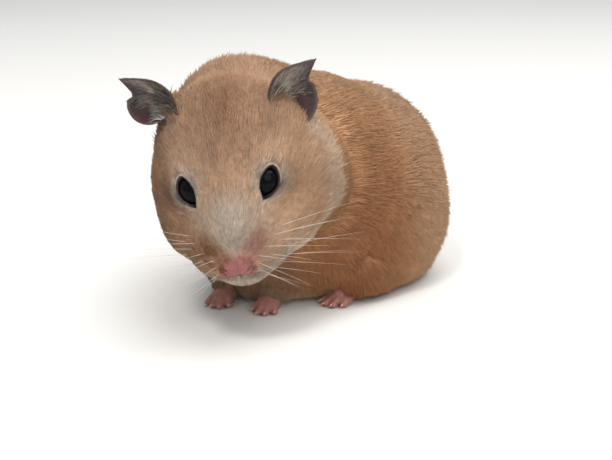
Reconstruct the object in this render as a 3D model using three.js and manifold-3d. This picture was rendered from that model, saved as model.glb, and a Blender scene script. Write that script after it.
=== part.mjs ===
// A Syrian hamster, life-size, crouched on its belly with its head raised and turned to its left.
// Millimetres, +Z up. The origin is on the floor under the middle of the belly, the tail points
// to +Y and the animal's left side is +X. The outer surfaces are those of the coat's tips.

import * as THREE from 'three';
import { mergeVertices } from 'three/addons/utils/BufferGeometryUtils.js';
import Module from 'manifold-3d';

const wasm = await Module();
wasm.setup();

// ---- Driving dimensions ----

const GAP = 0.3;                  // clear space left between neighbouring parts
const FLESH_BLEND = 2.6;          // how softly the masses of the trunk run into each other
const FACE_BLEND = 2;             // the same for the finer masses of the head
const LIMB_BLEND = 0.8;           // and for the joints of the legs

const BACK_HEIGHT = 54;
const HALF_WIDTH = 27;            // of the trunk at the rump

const HEAD_AT = new THREE.Vector3(16, -40.5, 35);   // midway between the eyes
const HEAD_TURN = 48;             // degrees to the animal's left
const HEAD_NOD = 32;              // degrees down
const HEAD_TILT = -9;             // degrees, left cheek up
const CHEST_TURN = 24;            // degrees that the chest and forelegs follow the head

const EYE_RADIUS = 3.9;
const EYE_SPACING = 15;           // between the centres of the eyeballs
const EAR_THICKNESS = 0.9;
const EAR_DEPTH = 4.2;            // of the ear's hollow
const EAR_RADIUS = 6.3;           // mean distance of the rim from the middle of the ear
const EAR_TIP = 360 / 7;          // degrees from straight outward up to the tip of the ear

const FOREPAW_SPREAD = 12;        // between the middles of the two forepaws
const HINDFOOT_SPREAD = 37;
const FOREPAW = { count: 4, width: 3.6, knuckle: -1.8, length: 2.6, radius: 0.95, spread: 22, shorter: 0.15 };
const HINDFOOT = { count: 5, width: 5, knuckle: -0.6, length: 4, radius: 1, spread: 20, shorter: 0.35 };
const TOE_ARC = 1.2;              // how far back the outer toes start
const CLAW_LENGTH = 1.7;
const CLAW_RADIUS = 0.45;
const CLAW_DROOP = 7;             // degrees that a claw points below its toe

// ---- Colours ----

const APRICOT = 0xa9825f;
const CREAM = 0xc9b39a;
const PINK = 0xc98a86;
const SLATE = 0x5d5654;
const BLACK = 0x0c0b0c;

const finish = (color, roughness) => new THREE.MeshStandardMaterial({ color, roughness, metalness: 0 });

// ---- Fields: negative inside a mass, positive outside, close to a distance near the surface ----

const radians = THREE.MathUtils.degToRad;

function ellipsoid(centre, radii, turn = 0) {
  const middle = new THREE.Vector3(...centre);
  const unturn = new THREE.Quaternion().setFromAxisAngle(new THREE.Vector3(0, 0, 1), -radians(turn));
  const q = new THREE.Vector3();
  return (p) => {
    q.copy(p).sub(middle).applyQuaternion(unturn);
    const near = Math.hypot(q.x / radii[0], q.y / radii[1], q.z / radii[2]);
    const slope = Math.hypot(q.x / radii[0] ** 2, q.y / radii[1] ** 2, q.z / radii[2] ** 2);
    return slope > 0 ? (near * (near - 1)) / slope : -Math.min(...radii);
  };
}

// A limb: a rod with round ends that tapers from one radius to the other.
function taper(from, to, fromRadius, toRadius) {
  const start = new THREE.Vector3(...from);
  const along = new THREE.Vector3(...to).sub(start);
  const q = new THREE.Vector3();
  return (p) => {
    q.copy(p).sub(start);
    const t = THREE.MathUtils.clamp(q.dot(along) / along.lengthSq(), 0, 1);
    return q.addScaledVector(along, -t).length() - THREE.MathUtils.lerp(fromRadius, toRadius, t);
  };
}

function blended(fields, softness) {
  return (p) => -softness * Math.log(fields.reduce((sum, f) => sum + Math.exp(-f(p) / softness), 0));
}

// The field of a mass that is described in a turned frame of its own.
function placed(field, frame) {
  const inverse = frame.clone().invert();
  const q = new THREE.Vector3();
  return (p) => field(q.copy(p).applyMatrix4(inverse));
}

const both = (make) => [make(1), make(-1)];

// ---- Solids ----

function closed(geometry) {
  geometry.deleteAttribute('normal');
  geometry.deleteAttribute('uv');
  return mergeVertices(geometry, 1e-5);
}

// Pushes the points of a round cage out from a core until they lie on the field's surface.
function moulded(field, core, cage, { stretch = [1, 1, 1], grow = 0 } = {}) {
  const shape = closed(cage);
  const points = shape.attributes.position;
  const from = new THREE.Vector3(...core);
  const shaping = new THREE.Vector3(...stretch);
  const ray = new THREE.Vector3();
  const p = new THREE.Vector3();
  const outside = (reach) => field(p.copy(from).addScaledVector(ray, reach)) > grow;
  for (let i = 0; i < points.count; i++) {
    ray.fromBufferAttribute(points, i).multiply(shaping).normalize();
    let far = 0.5;
    while (!outside(far)) far += 0.5;
    let near = far - 0.5;
    for (let step = 0; step < 14; step++) {
      const middle = (near + far) / 2;
      if (outside(middle)) far = middle;
      else near = middle;
    }
    p.copy(from).addScaledVector(ray, far);
    points.setXYZ(i, p.x, p.y, p.z);
  }
  return toSolid(shape);
}

const ball = (detail) => new THREE.IcosahedronGeometry(1, detail);
const spindle = () => new THREE.SphereGeometry(1, 6, 3);

function toSolid(shape) {
  return new wasm.Manifold(new wasm.Mesh({
    numProp: 3,
    vertProperties: new Float32Array(shape.attributes.position.array),
    triVerts: new Uint32Array(shape.index.array),
  }));
}

function toGeometry(solid) {
  const made = solid.getMesh();
  const geometry = new THREE.BufferGeometry();
  geometry.setAttribute('position', new THREE.BufferAttribute(made.vertProperties.slice(), 3));
  geometry.setIndex(new THREE.BufferAttribute(made.triVerts.slice(), 1));
  geometry.computeVertexNormals();
  return geometry;
}

// What lies on the far side of a plane through a point, along the direction given.
function beyond(solid, frame, point, direction) {
  const normal = direction.clone().transformDirection(frame);
  const through = new THREE.Vector3(...point).applyMatrix4(frame);
  return solid.trimByPlane(normal.toArray(), normal.dot(through));
}

// The point a gap's width short of another, against the direction given.
function before(point, direction) {
  return new THREE.Vector3(...point).addScaledVector(direction.clone().normalize(), -GAP).toArray();
}

const world = new THREE.Matrix4();
const aboveFloor = (solid) => beyond(solid, world, [0, 0, 0], new THREE.Vector3(0, 0, 1));
const joined = (solids) => aboveFloor(solids.reduce((a, b) => a.add(b)));
const less = (solid, ...cutters) => cutters.reduce((left, cutter) => left.subtract(cutter), solid);

const hamster = new THREE.Group();

function add(name, solid, material) {
  const mesh = new THREE.Mesh(toGeometry(solid), material);
  mesh.name = name;
  hamster.add(mesh);
}

// ---- Head, in its own frame: +X to its left, -Y to its nose, +Z to its crown, eyes at Y = Z = 0 ----

const headFrame = new THREE.Matrix4()
  .makeRotationFromEuler(new THREE.Euler(radians(HEAD_NOD), radians(HEAD_TILT), radians(HEAD_TURN), 'ZXY'))
  .setPosition(HEAD_AT);
const headPoint = (point) => new THREE.Vector3(...point).applyMatrix4(headFrame).toArray();

const headField = placed(blended([
  ellipsoid([0, 11, 1.5], [14.8, 14.6, 11]),                        // cranium
  ellipsoid([0, 16.5, 2.5], [13.6, 8.6, 8.6]),                      // crown between the ears
  ...both((s) => ellipsoid([11 * s, 9, -6.5], [7.8, 11.6, 10.6])),  // cheeks
  ...both((s) => ellipsoid([9 * s, 1.5, -11.2], [7.9, 9.2, 7.4])),  // jowls
  ellipsoid([0, -1.5, -2.4], [6.2, 9, 7]),                          // brow
  ellipsoid([0, -4.6, -4.4], [7.2, 9, 6]),                          // bridge of the nose
  ...both((s) => ellipsoid([4.5 * s, -8.2, -10], [5.6, 6.4, 5.1])),  // whisker pads
  ellipsoid([0, -7.2, -16], [5.8, 6, 4.8]),                         // chin
], FACE_BLEND), headFrame);

const eyeAt = (side) => [side * EYE_SPACING / 2, 0.3, 0.45];
function eye(side, grow = 0) {
  const field = placed(ellipsoid(eyeAt(side), [EYE_RADIUS, EYE_RADIUS, EYE_RADIUS]), headFrame);
  return moulded(field, headPoint(eyeAt(side)), ball(2), { grow });
}

const NOSE_AT = [0, -14.4, -9];
function nose(grow = 0) {
  const field = placed(ellipsoid(NOSE_AT, [3.3, 2, 2.6]), headFrame);
  return moulded(field, headPoint(NOSE_AT), ball(1), { grow });
}

// The head is moulded whole, then parted behind the muzzle and along the mouth. What meets it
// is cut back to a coarser and slightly larger head.
const wholeHead = (grow, detail) => moulded(headField, headPoint([0, 4, -4]), ball(detail), { grow });
const headRoom = wholeHead(GAP * 1.5, 5);
const MUZZLE_ROOT = [0, -4.5, 0];
const MOUTH = [0, -10, -13.6];
const backward = new THREE.Vector3(0, 1, 0.1);
const upward = new THREE.Vector3(0, 0.2, 1);

const eyeless = less(wholeHead(0, 7), eye(1, GAP), eye(-1, GAP), nose(GAP));
const head = beyond(eyeless, headFrame, MUZZLE_ROOT, backward);
const face = beyond(eyeless, headFrame, before(MUZZLE_ROOT, backward), backward.clone().negate());
const muzzle = beyond(face, headFrame, MOUTH, upward);
const jaw = beyond(face, headFrame, before(MOUTH, upward), upward.clone().negate());

add('head', head, finish(APRICOT, 0.9));
add('muzzle', muzzle, finish(CREAM, 0.9));
add('lower_jaw', jaw, finish(CREAM, 0.9));
add('nose', nose(), finish(PINK, 0.45));
add('eye_left', eye(1), finish(BLACK, 0.05));
add('eye_right', eye(-1), finish(BLACK, 0.05));

// ---- Feet: a palm or sole, with toes that each end in a claw ----

function rod(from, to, fromRadius, toRadius, cage, frame) {
  const middle = new THREE.Vector3(...from).add(new THREE.Vector3(...to)).multiplyScalar(0.5);
  const field = placed(taper(from, to, fromRadius, toRadius), frame);
  return moulded(field, middle.applyMatrix4(frame).toArray(), cage);
}

function claw(tip, heading, grow, frame) {
  const shape = closed(new THREE.ConeGeometry(CLAW_RADIUS + grow, CLAW_LENGTH + 3 * grow, 5));
  shape.rotateX(radians(180 + CLAW_DROOP)).rotateZ(heading).translate(...tip).applyMatrix4(frame);
  return toSolid(shape);
}

// Toes fan out from a row of knuckles across the front of the foot.
function toes({ count, width, knuckle, length, radius, spread, shorter }, grow, frame) {
  const made = [];
  for (let i = 0; i < count; i++) {
    const across = (2 * i) / (count - 1) - 1;
    const heading = radians(spread * across);
    const long = length * (1 - shorter * across ** 2);
    const start = [(width / 2) * across, knuckle + TOE_ARC * across ** 2, radius * 1.5];
    const along = (reach, height) => [
      start[0] + reach * Math.sin(heading), start[1] - reach * Math.cos(heading), height];
    const toe = [radius * 1.1 + grow, radius + grow];
    made.push(rod(start, along(long, radius * 0.9), ...toe, spindle(), frame));
    made.push(claw(along(long + CLAW_LENGTH / 2 + 0.2, radius * 0.9), heading, grow, frame));
  }
  return made;
}

// ---- Forelegs, which turn a little after the head ----

const chestFrame = new THREE.Matrix4().makeRotationZ(radians(CHEST_TURN)).setPosition(2.2, -22, 0);

function forepaw(side, grow = 0) {
  const frame = chestFrame.clone().multiply(
    new THREE.Matrix4().makeTranslation(side * FOREPAW_SPREAD / 2, -4.4, 0));
  const palm = placed(ellipsoid([0, 0, 1.7], [2.7, 3.2, 2.2]), frame);
  const core = new THREE.Vector3(0, 0, 1.7).applyMatrix4(frame).toArray();
  return joined([moulded(palm, core, ball(1), { grow }), ...toes(FOREPAW, grow, frame)]);
}

function foreleg(side, grow = 0) {
  const elbow = [side * 9.5, 2, 9];
  const field = placed(blended([
    taper([side * 9, 4, 13], elbow, 6.5, 5),
    taper(elbow, [side * 6.2, -2.6, 3.2], 4.8, 2.9),
  ], LIMB_BLEND), chestFrame);
  const core = new THREE.Vector3(...elbow).applyMatrix4(chestFrame).toArray();
  return aboveFloor(moulded(field, core, ball(2), { grow }));
}

// ---- Hind legs, folded flat under the haunches ----

function thigh(side, grow = 0) {
  const field = blended([
    ellipsoid([side * 17.5, 13, 16], [12, 19, 18], 8 * side),
    ellipsoid([side * 18.5, 2, 8], [9, 12.5, 9], 8 * side),
  ], LIMB_BLEND);
  return aboveFloor(moulded(field, [side * 18, 7, 14], ball(3), { grow }));
}

function hindfoot(side, grow = 0) {
  const frame = new THREE.Matrix4().makeRotationZ(radians(-6 * side))
    .setPosition(side * HINDFOOT_SPREAD / 2, -8, 0);
  const sole = rod([0, 9, 1.9], [0, 0, 1.9], 2.3 + grow, 2.9 + grow, ball(1), frame);
  return joined([sole, ...toes(HINDFOOT, grow, frame)]);
}

// ---- Neck, trunk and tail ----

const neckField = blended([
  ellipsoid([-4, -20, 41], [18, 16, 18.5]),
  ellipsoid([11, -26, 34], [20, 15, 17], 45),
], FLESH_BLEND);
const neck = (grow = 0) => moulded(neckField, [4, -25, 34], ball(4), { grow });

const trunkField = blended([
  ellipsoid([0, 14, 24], [HALF_WIDTH, 24.5, 26]),                       // rump
  ellipsoid([0, -3, 26.5], [HALF_WIDTH - 1, 24, BACK_HEIGHT / 2 + 1]),  // belly and back
  ellipsoid([-2, -14, 31], [21, 18, 26.5]),                             // shoulders
  ellipsoid([2, -17, 14], [12, 11, 15]),                                // chest
  ellipsoid([0, -8, 12], [22, 13, 13]),                                 // flanks before the knees
], FLESH_BLEND);
const wholeTrunk = aboveFloor(moulded(trunkField, [0, 0, 26], ball(5), { stretch: [1, 1.2, 1] }));

const tail = (grow = 0) => rod([0, 35, 10], [0, 42, 6.5], 2.2 + grow, 0.9 + grow, ball(1), world);

// ---- Ears: thin hollow leaves whose tips are drawn out to a point ----

// How far the rim is from the middle of the ear, in the direction of an angle in degrees. The
// lower lobe is tucked in, the tip is drawn out, and there is a notch between them.
function rim(angle, { tuck, point, notch }) {
  const from = (middle) => THREE.MathUtils.euclideanModulo(angle - middle + 180, 360) - 180;
  const bell = (middle, width) => Math.exp(-((from(middle) / width) ** 2));
  const leaf = EAR_RADIUS + 2.5 * Math.cos(radians(angle - 50));
  const steepness = from(EAR_TIP) < 0 ? 5 : 15;
  const tip = point * Math.exp(-Math.abs(from(EAR_TIP)) / steepness);
  return leaf - 3.2 * bell(150, 42) - tuck * bell(-50, 42) - notch * bell(EAR_TIP - 7, 8) + tip;
}

function earShape(side, frame, outline) {
  const RINGS = 3;
  const SPOKES = 28;
  const points = [];
  const faces = [];
  const at = (sheet, ring, spoke) => {
    if (ring === 0) return sheet;
    return 2 + (sheet * RINGS + ring - 1) * SPOKES + (spoke % SPOKES);
  };
  const place = (ring, spoke, back) => {
    const angle = (360 * spoke) / SPOKES;
    const out = ring / RINGS;
    const reach = rim(angle, outline) * out;
    const across = side * reach * Math.cos(radians(angle));
    const hollow = EAR_DEPTH * (1 - out ** 2);
    return new THREE.Vector3(across, hollow + back, reach * Math.sin(radians(angle))).applyMatrix4(frame);
  };
  for (const back of [0, EAR_THICKNESS]) points.push(place(0, 0, back));
  for (const back of [0, EAR_THICKNESS]) {
    for (let ring = 1; ring <= RINGS; ring++) {
      for (let spoke = 0; spoke < SPOKES; spoke++) points.push(place(ring, spoke, back));
    }
  }
  const face = (a, b, c) => faces.push(...(side > 0 ? [a, b, c] : [a, c, b]));
  for (let spoke = 0; spoke < SPOKES; spoke++) {
    for (const sheet of [0, 1]) {
      const turn = sheet === 0 ? face : (a, b, c) => face(a, c, b);
      turn(at(sheet, 0), at(sheet, 1, spoke), at(sheet, 1, spoke + 1));
      for (let ring = 1; ring < RINGS; ring++) {
        turn(at(sheet, ring, spoke), at(sheet, ring + 1, spoke), at(sheet, ring + 1, spoke + 1));
        turn(at(sheet, ring, spoke), at(sheet, ring + 1, spoke + 1), at(sheet, ring, spoke + 1));
      }
    }
    face(at(0, RINGS, spoke), at(1, RINGS, spoke), at(1, RINGS, spoke + 1));
    face(at(0, RINGS, spoke), at(1, RINGS, spoke + 1), at(0, RINGS, spoke + 1));
  }
  const shape = new THREE.BufferGeometry().setFromPoints(points);
  shape.setIndex(faces);
  return shape;
}

// The ears are carried a little differently, and sit at slightly different places.
function ear(side, { lean, roll, turn, out, up }, outline) {
  const carried = new THREE.Euler(radians(lean), radians(roll * side), radians(turn * side), 'XZY');
  const frame = new THREE.Matrix4()
    .makeRotationFromEuler(carried)
    .setPosition(out * side, 13.5, up)
    .premultiply(headFrame);
  return less(toSolid(earShape(side, frame, outline)), headRoom, neck(GAP));
}

const leftEar = ear(1, { lean: -35.5, roll: 5.5, turn: 18.5, out: 12.8, up: 8.6 },
  { tuck: 0, point: 4.7, notch: 1.1 });
const rightEar = ear(-1, { lean: -26, roll: 3.3, turn: 8, out: 12.3, up: 10.8 },
  { tuck: 4.6, point: 4.2, notch: 1.6 });
add('ear_left', leftEar, finish(SLATE, 0.7));
add('ear_right', rightEar, finish(SLATE, 0.7));

// ---- Parting: what lies nearer the tips is cut out of what lies nearer the middle ----

let trunk = less(wholeTrunk, headRoom, neck(GAP), tail(GAP));
for (const [name, side] of Object.entries({ left: 1, right: -1 })) {
  add('forepaw_' + name, forepaw(side), finish(PINK, 0.6));
  add('foreleg_' + name, less(foreleg(side), forepaw(side, GAP), headRoom, neck(GAP)), finish(CREAM, 0.9));
  add('hindfoot_' + name, hindfoot(side), finish(PINK, 0.6));
  add('thigh_' + name, less(thigh(side), hindfoot(side, GAP)), finish(APRICOT, 0.9));
  trunk = less(trunk, forepaw(side, GAP), foreleg(side, GAP), hindfoot(side, GAP), thigh(side, GAP));
}
add('neck', less(neck(), headRoom), finish(CREAM, 0.9));
add('trunk', trunk, finish(APRICOT, 0.9));
add('tail', tail(), finish(PINK, 0.7));

export default hamster;
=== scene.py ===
"""A Syrian hamster's skin, coat, eyes, claws and whiskers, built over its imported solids."""
import math
from types import SimpleNamespace

import bmesh
import bpy
import numpy as np
from mathutils import Euler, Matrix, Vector
from mathutils.kdtree import KDTree


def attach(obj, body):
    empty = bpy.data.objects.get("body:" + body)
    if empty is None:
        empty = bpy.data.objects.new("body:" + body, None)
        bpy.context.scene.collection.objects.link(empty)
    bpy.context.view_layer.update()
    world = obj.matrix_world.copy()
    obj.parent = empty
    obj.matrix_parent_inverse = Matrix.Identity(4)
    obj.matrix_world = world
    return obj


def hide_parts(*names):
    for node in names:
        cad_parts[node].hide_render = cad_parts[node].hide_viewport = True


bl_info = {
    "name": "Syrian Hamster",
    "version": (1, 0, 0),
    "blender": (4, 5, 0),
    "location": "3D View > Sidebar > Hamster",
    "description": "Builds a life-size Syrian hamster over its packed solids",
    "category": "Object",
}

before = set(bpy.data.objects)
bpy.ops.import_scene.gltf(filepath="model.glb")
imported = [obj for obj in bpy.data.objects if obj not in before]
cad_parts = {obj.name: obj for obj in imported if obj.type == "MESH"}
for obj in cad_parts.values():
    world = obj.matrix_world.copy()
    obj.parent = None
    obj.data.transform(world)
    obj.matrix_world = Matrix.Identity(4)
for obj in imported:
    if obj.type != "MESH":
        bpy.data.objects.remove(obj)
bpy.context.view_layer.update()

# Lengths in this file are millimetres until a mesh is made.
MM = 0.001
SIDES = {"left": 1.0, "right": -1.0}
FLESH = ("head", "muzzle", "lower_jaw", "nose", "ear_left", "ear_right", "neck", "trunk", "tail",
         "forepaw_left", "foreleg_left", "hindfoot_left", "thigh_left",
         "forepaw_right", "foreleg_right", "hindfoot_right", "thigh_right")

# ---- The build of the animal ----

HEAD_AT = np.array([16.0, -40.5, 35.0])       # midway between the eyes
HEAD_TURN, HEAD_NOD, HEAD_TILT = 48.0, 32.0, -9.0
CHEST_AT, CHEST_TURN = np.array([2.2, -22.0, 0.0]), 24.0
EYE_RADIUS = 3.9
EYE_SPACING = 15.0                            # between the middles of the eyeballs
LID = 0.6                                     # thickness of an eyelid
NOSE_AT = np.array([0.0, -14.4, -9.0])
WHORL = np.array([0.0, -14.5, -9.5])          # where the hair of the head streams from
EAR_DEPTH, EAR_RADIUS, EAR_TIP = 4.2, 6.3, 360 / 7
FOREPAW_SPREAD, HINDFOOT_SPREAD = 12.0, 37.0
FLOOR_COAT = 0.8                              # thickness of the coat that the belly lies on
NECK_COAT, TRUNK_COAT, THIGH_COAT, FORELEG_COAT = 3.5, 4.0, 3.3, 1.3
FOOT_HAIR, EAR_ROOT_HAIR = 0.35, 1.3          # depth of the hair there


def turned(nod=0.0, tilt=0.0, turn=0.0, order="YXZ"):
    """Rotation matrix for angles in degrees about X, Y and Z."""
    angles = Euler([math.radians(a) for a in (nod, tilt, turn)], order)
    return np.array(angles.to_matrix())


class Frame:
    """A turned and shifted frame: points and directions go in and out of it."""

    def __init__(self, at, turn):
        self.at = np.asarray(at, float)
        self.turn = turn

    def inside(self, points):
        return (points - self.at) @ self.turn

    def outside(self, points):
        return np.asarray(points) @ self.turn.T + self.at

    def way(self, directions):
        return np.asarray(directions) @ self.turn.T

    def within(self, at, turn):
        return Frame(self.outside(at), self.turn @ turn)


WORLD = Frame((0, 0, 0), np.eye(3))
HEAD = Frame(HEAD_AT, turned(HEAD_NOD, HEAD_TILT, HEAD_TURN))
CHEST = Frame(CHEST_AT, turned(turn=CHEST_TURN))


# ---- Fields: negative inside a mass, positive outside, close to a distance near the surface ----


def ellipsoid(points, centre, radii, turn=0.0):
    q = points - np.asarray(centre)
    if turn:
        q = q @ turned(turn=turn)
    radii = np.asarray(radii)
    near = np.linalg.norm(q / radii, axis=1)
    slope = np.linalg.norm(q / radii ** 2, axis=1)
    return near * (near - 1) / np.maximum(slope, 1e-6)


def rod(points, start, end, start_radius, end_radius):
    """A limb with round ends that tapers from one radius to the other."""
    start = np.asarray(start, float)
    along = np.asarray(end, float) - start
    t = np.clip((points - start) @ along / (along @ along), 0, 1)
    reach = np.linalg.norm(points - start - t[:, None] * along, axis=1)
    return reach - (start_radius + (end_radius - start_radius) * t)


def melt(fields, softness):
    """Runs masses into each other."""
    total = sum(np.exp(-np.clip(f / softness, -60, 60)) for f in fields)
    return -softness * np.log(total)


def carved(field, tool, softness):
    """Cuts a tool's mass out of a field."""
    return -melt([-field, tool], softness)


def step(low, high, values):
    """Rises smoothly from 0 at low to 1 at high."""
    t = np.clip((values - low) / (high - low), 0, 1)
    return t * t * (3 - 2 * t)


def bell(values, width):
    """Is 1 at 0, and falls off evenly to both sides."""
    return np.exp(-(values / width) ** 2)


def unit(vectors):
    return vectors / np.maximum(np.linalg.norm(vectors, axis=-1, keepdims=True), 1e-9)


def dot(a, b):
    return np.sum(a * b, axis=-1, keepdims=True)


# ---- Flesh and coat: masses whose surfaces are the tips of the coat, as in the solids ----


def head_mass(q):
    both = [ellipsoid(q, (0, 11, 1.5), (14.8, 14.6, 11)),
            ellipsoid(q, (0, 16.5, 2.5), (13.6, 8.6, 8.6)),
            ellipsoid(q, (0, -1.5, -2.4), (6.2, 9, 7)),
            ellipsoid(q, (0, -4.6, -4.4), (7.2, 9, 6)),
            ellipsoid(q, (0, -7.2, -16), (5.8, 6, 4.8))]
    for s in SIDES.values():
        both += [ellipsoid(q, (11 * s, 9, -6.5), (7.8, 11.6, 10.6)),
                 ellipsoid(q, (9.0 * s, 1.5, -11.2), (7.9, 9.2, 7.4)),
                 ellipsoid(q, (4.5 * s, -8.2, -10.0), (5.6, 6.4, 5.1))]
    return melt(both, 2.0)


def neck_mass(p):
    """The neck of the solids, and a low swell that evens out the fold between crown and nape."""
    swell = ellipsoid(p, (2.3, -28.8, 46.2), (12, 7, 7.5), 45)
    return melt([ellipsoid(p, (-4, -20, 41), (18, 16, 18.5)), swell,
                 ellipsoid(p, (11, -26, 34), (20, 15, 17), 45)], 2.6)


def trunk_mass(p):
    return melt([ellipsoid(p, (0, 14, 24), (27, 24.5, 26)),
                 ellipsoid(p, (0, -3, 26.5), (26, 24, 28)),
                 ellipsoid(p, (-2, -14, 31), (21, 18, 26.5)),
                 ellipsoid(p, (2, -17, 14), (12, 11, 15)),
                 ellipsoid(p, (0, -8, 12), (22, 13, 13))], 2.6)


def thigh_mass(p):
    return melt([f for s in SIDES.values() for f in (
        ellipsoid(p, (17.5 * s, 13, 16), (12, 19, 18), 8 * s),
        ellipsoid(p, (18.5 * s, 2, 8), (9, 12.5, 9), 8 * s))], 0.8)


def foreleg_mass(c):
    return melt([f for s in SIDES.values() for f in (
        rod(c, (9 * s, 4, 13), (9.5 * s, 2, 9), 6.5, 5),
        rod(c, (9.5 * s, 2, 9), (6.2 * s, -2.6, 3.2), 4.8, 2.9))], 0.8)


def masses(points):
    """The fields of the head, neck, trunk, thighs and forelegs at the tips of their coats."""
    return np.stack([head_mass(HEAD.inside(points)), neck_mass(points), trunk_mass(points),
                     thigh_mass(points), foreleg_mass(CHEST.inside(points))])


def shares_of(fields, softness=1.5):
    """How much each mass counts at a point, adding up to 1."""
    weights = np.exp(-np.clip((fields - fields.min(0)) / softness, 0, 60))
    return weights / weights.sum(0)


def eye_at(side):
    return np.array([side * EYE_SPACING / 2, 0.3, 0.45])


def head_depth(q):
    """The coat is thickest at the back of the cheeks, and thins out to the nose and the eyes."""
    depth = 0.5 + 2.5 * step(-13, 13, q[:, 1])
    depth = depth - 0.5 * step(-12, -15, q[:, 2]) * step(4, -6, q[:, 1])
    for s in SIDES.values():
        reach = np.linalg.norm(q - eye_at(s), axis=1) - EYE_RADIUS
        depth = depth * (1 - 0.6 * bell(np.maximum(reach, 0), 1.8))
    return np.maximum(depth, 0.4)


def coat_depth(points, fields):
    """How thick the coat is, thinner where the body nears the floor."""
    shares = shares_of(fields)
    depths = [head_depth(HEAD.inside(points)), NECK_COAT, TRUNK_COAT, THIGH_COAT, FORELEG_COAT]
    depth = sum(share * d for share, d in zip(shares, depths))
    return depth * (0.35 + 0.65 * step(0.5, 9, points[:, 2]))


def outline(fields):
    """The field of the whole body at the tips of its coat."""
    head, neck, trunk, thigh, foreleg = fields
    torso = melt([melt([trunk, thigh], 1.6), neck], 1.6)
    return melt([melt([head, torso], 3.0), foreleg], 1.0)


def flesh(points):
    """The body under its coat, without the finer work on the face."""
    fields = masses(points)
    body = outline(fields) + coat_depth(points, fields)
    return carved(body, points[:, 2] - FLOOR_COAT, 0.4)


# ---- Face ----


def eye_axes(side):
    """The gaze, the line from the inner to the outer corner, and the line across the lids."""
    along = unit(np.array([0.375 * side, 0.71, 0.59]))
    ahead = unit(np.array([0.0, -0.64, 0.77]))
    ahead = unit(ahead - along * (ahead @ along))
    out = np.cross(along, ahead) * side
    out = out * np.sign(out[0] * side)
    gaze = unit(ahead * math.cos(math.radians(24)) + out * math.sin(math.radians(24)))
    across = np.cross(gaze, along)
    return gaze, along, across


def lid_gap(q, side):
    """How far a point is from the opening between the lids, along the eyeball; negative inside."""
    gaze, along, across = eye_axes(side)
    rel = q - eye_at(side)
    reach = np.linalg.norm(rel, axis=1)
    way = rel / np.maximum(reach, 1e-6)[:, None]
    a = np.degrees(np.arcsin(np.clip(way @ along, -1, 1)))
    b = np.degrees(np.arctan2(way @ across, way @ gaze))
    outer = np.sqrt(np.maximum(1 - (a / 47) ** 2, 0.0)) - np.maximum(a / 47 - 1, 0)
    inner = 1 - np.abs(a / 53) ** 2.1
    half = 26 * np.where(a > 0, outer, inner)
    return np.radians(np.abs(b) - half) * reach, reach, way @ gaze


def with_eyes(f, q):
    """Raises lids over the eyeballs, parts them, and leaves room for the eyeballs below."""
    for s in SIDES.values():
        gap, reach, facing = lid_gap(q, s)
        f = melt([f, reach - (EYE_RADIUS + LID)], 0.7)
        slit = np.where((facing > 0) & (reach < EYE_RADIUS + 3), gap, 5.0)
        f = carved(f, slit, 0.12)
        f = np.maximum(f, EYE_RADIUS + 0.05 - reach)
    return f


def with_nose(f, q):
    """Swells the nose and its wings, and cuts the nostrils and the cleft below them."""
    f = melt([f, ellipsoid(q, NOSE_AT + (0, 0.2, 0.1), (2.9, 1.8, 2.2))], 0.6)
    for s in SIDES.values():
        f = melt([f, ellipsoid(q, NOSE_AT + (1.75 * s, -0.3, -0.6), (1.45, 1.25, 1.4))], 0.35)
    for s in SIDES.values():
        nostril = rod(q, NOSE_AT + (0.95 * s, -2.0, -1.3), NOSE_AT + (2.4 * s, -1.5, -0.3), 0.5, 0.34)
        f = carved(f, nostril, 0.12)
    cleft = bell(q[:, 0], 0.32) * step(-9, -12, q[:, 1]) * step(-5.5, -8, q[:, 2])
    return f + 0.32 * cleft


def nose_reach(q):
    """How far points are from the middle of the nose; 1 is the rim of its bare leather."""
    return np.linalg.norm((q - NOSE_AT) / (3.1, 2.2, 2.5), axis=1)


def mouth_height(q):
    """Height above the line of the closed mouth, which rises towards its corners."""
    return q[:, 2] + 13.5 + 0.2 * (q[:, 1] + 10) - 0.035 * q[:, 0] ** 2


def with_mouth(f, q):
    """Sinks the line of the closed mouth."""
    groove = bell(mouth_height(q), 0.45) * step(-7, -10, q[:, 1]) * step(6.5, 4.5, np.abs(q[:, 0]))
    return f + 0.5 * groove


def ear_stem(q, name):
    """The root of the ear, from under its leaf into the head."""
    side = SIDES[name]
    own = ear_frame(name)
    foot = HEAD.inside(own.outside(ear_leaf(name, np.array([215.0]), np.array([0.35]), 1.6)))[0]
    return rod(q, foot, (8.5 * side, 12, 2.5), 2.0, 4.5)


def body(points):
    """The skin of the head, trunk and legs, with the roots of the ears and the work on the face."""
    f = flesh(points)
    q = HEAD.inside(points)
    crown = np.flatnonzero((q[:, 2] > 2) & (np.abs(q[:, 1] - 12) < 14) & (f < 14))
    if len(crown):
        stems = [ear_stem(q[crown], name) for name in SIDES]
        f[crown] = melt([f[crown], *stems], 1.2)
    face = np.flatnonzero((np.linalg.norm(q - (0, -4, -6), axis=1) < 20) & (f < 6))
    if len(face):
        f[face] = with_eyes(with_mouth(with_nose(f[face], q[face]), q[face]), q[face])
    return f


# ---- Feet and tail ----

FOREPAW = dict(count=4, width=3.6, knuckle=-1.8, length=2.6, radius=0.95, spread=22, shorter=0.15)
HINDFOOT = dict(count=5, width=5.0, knuckle=-0.6, length=4.0, radius=1.0, spread=20, shorter=0.35)
TOE_ARC = 1.2
CLAW_LENGTH = 1.7


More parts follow.
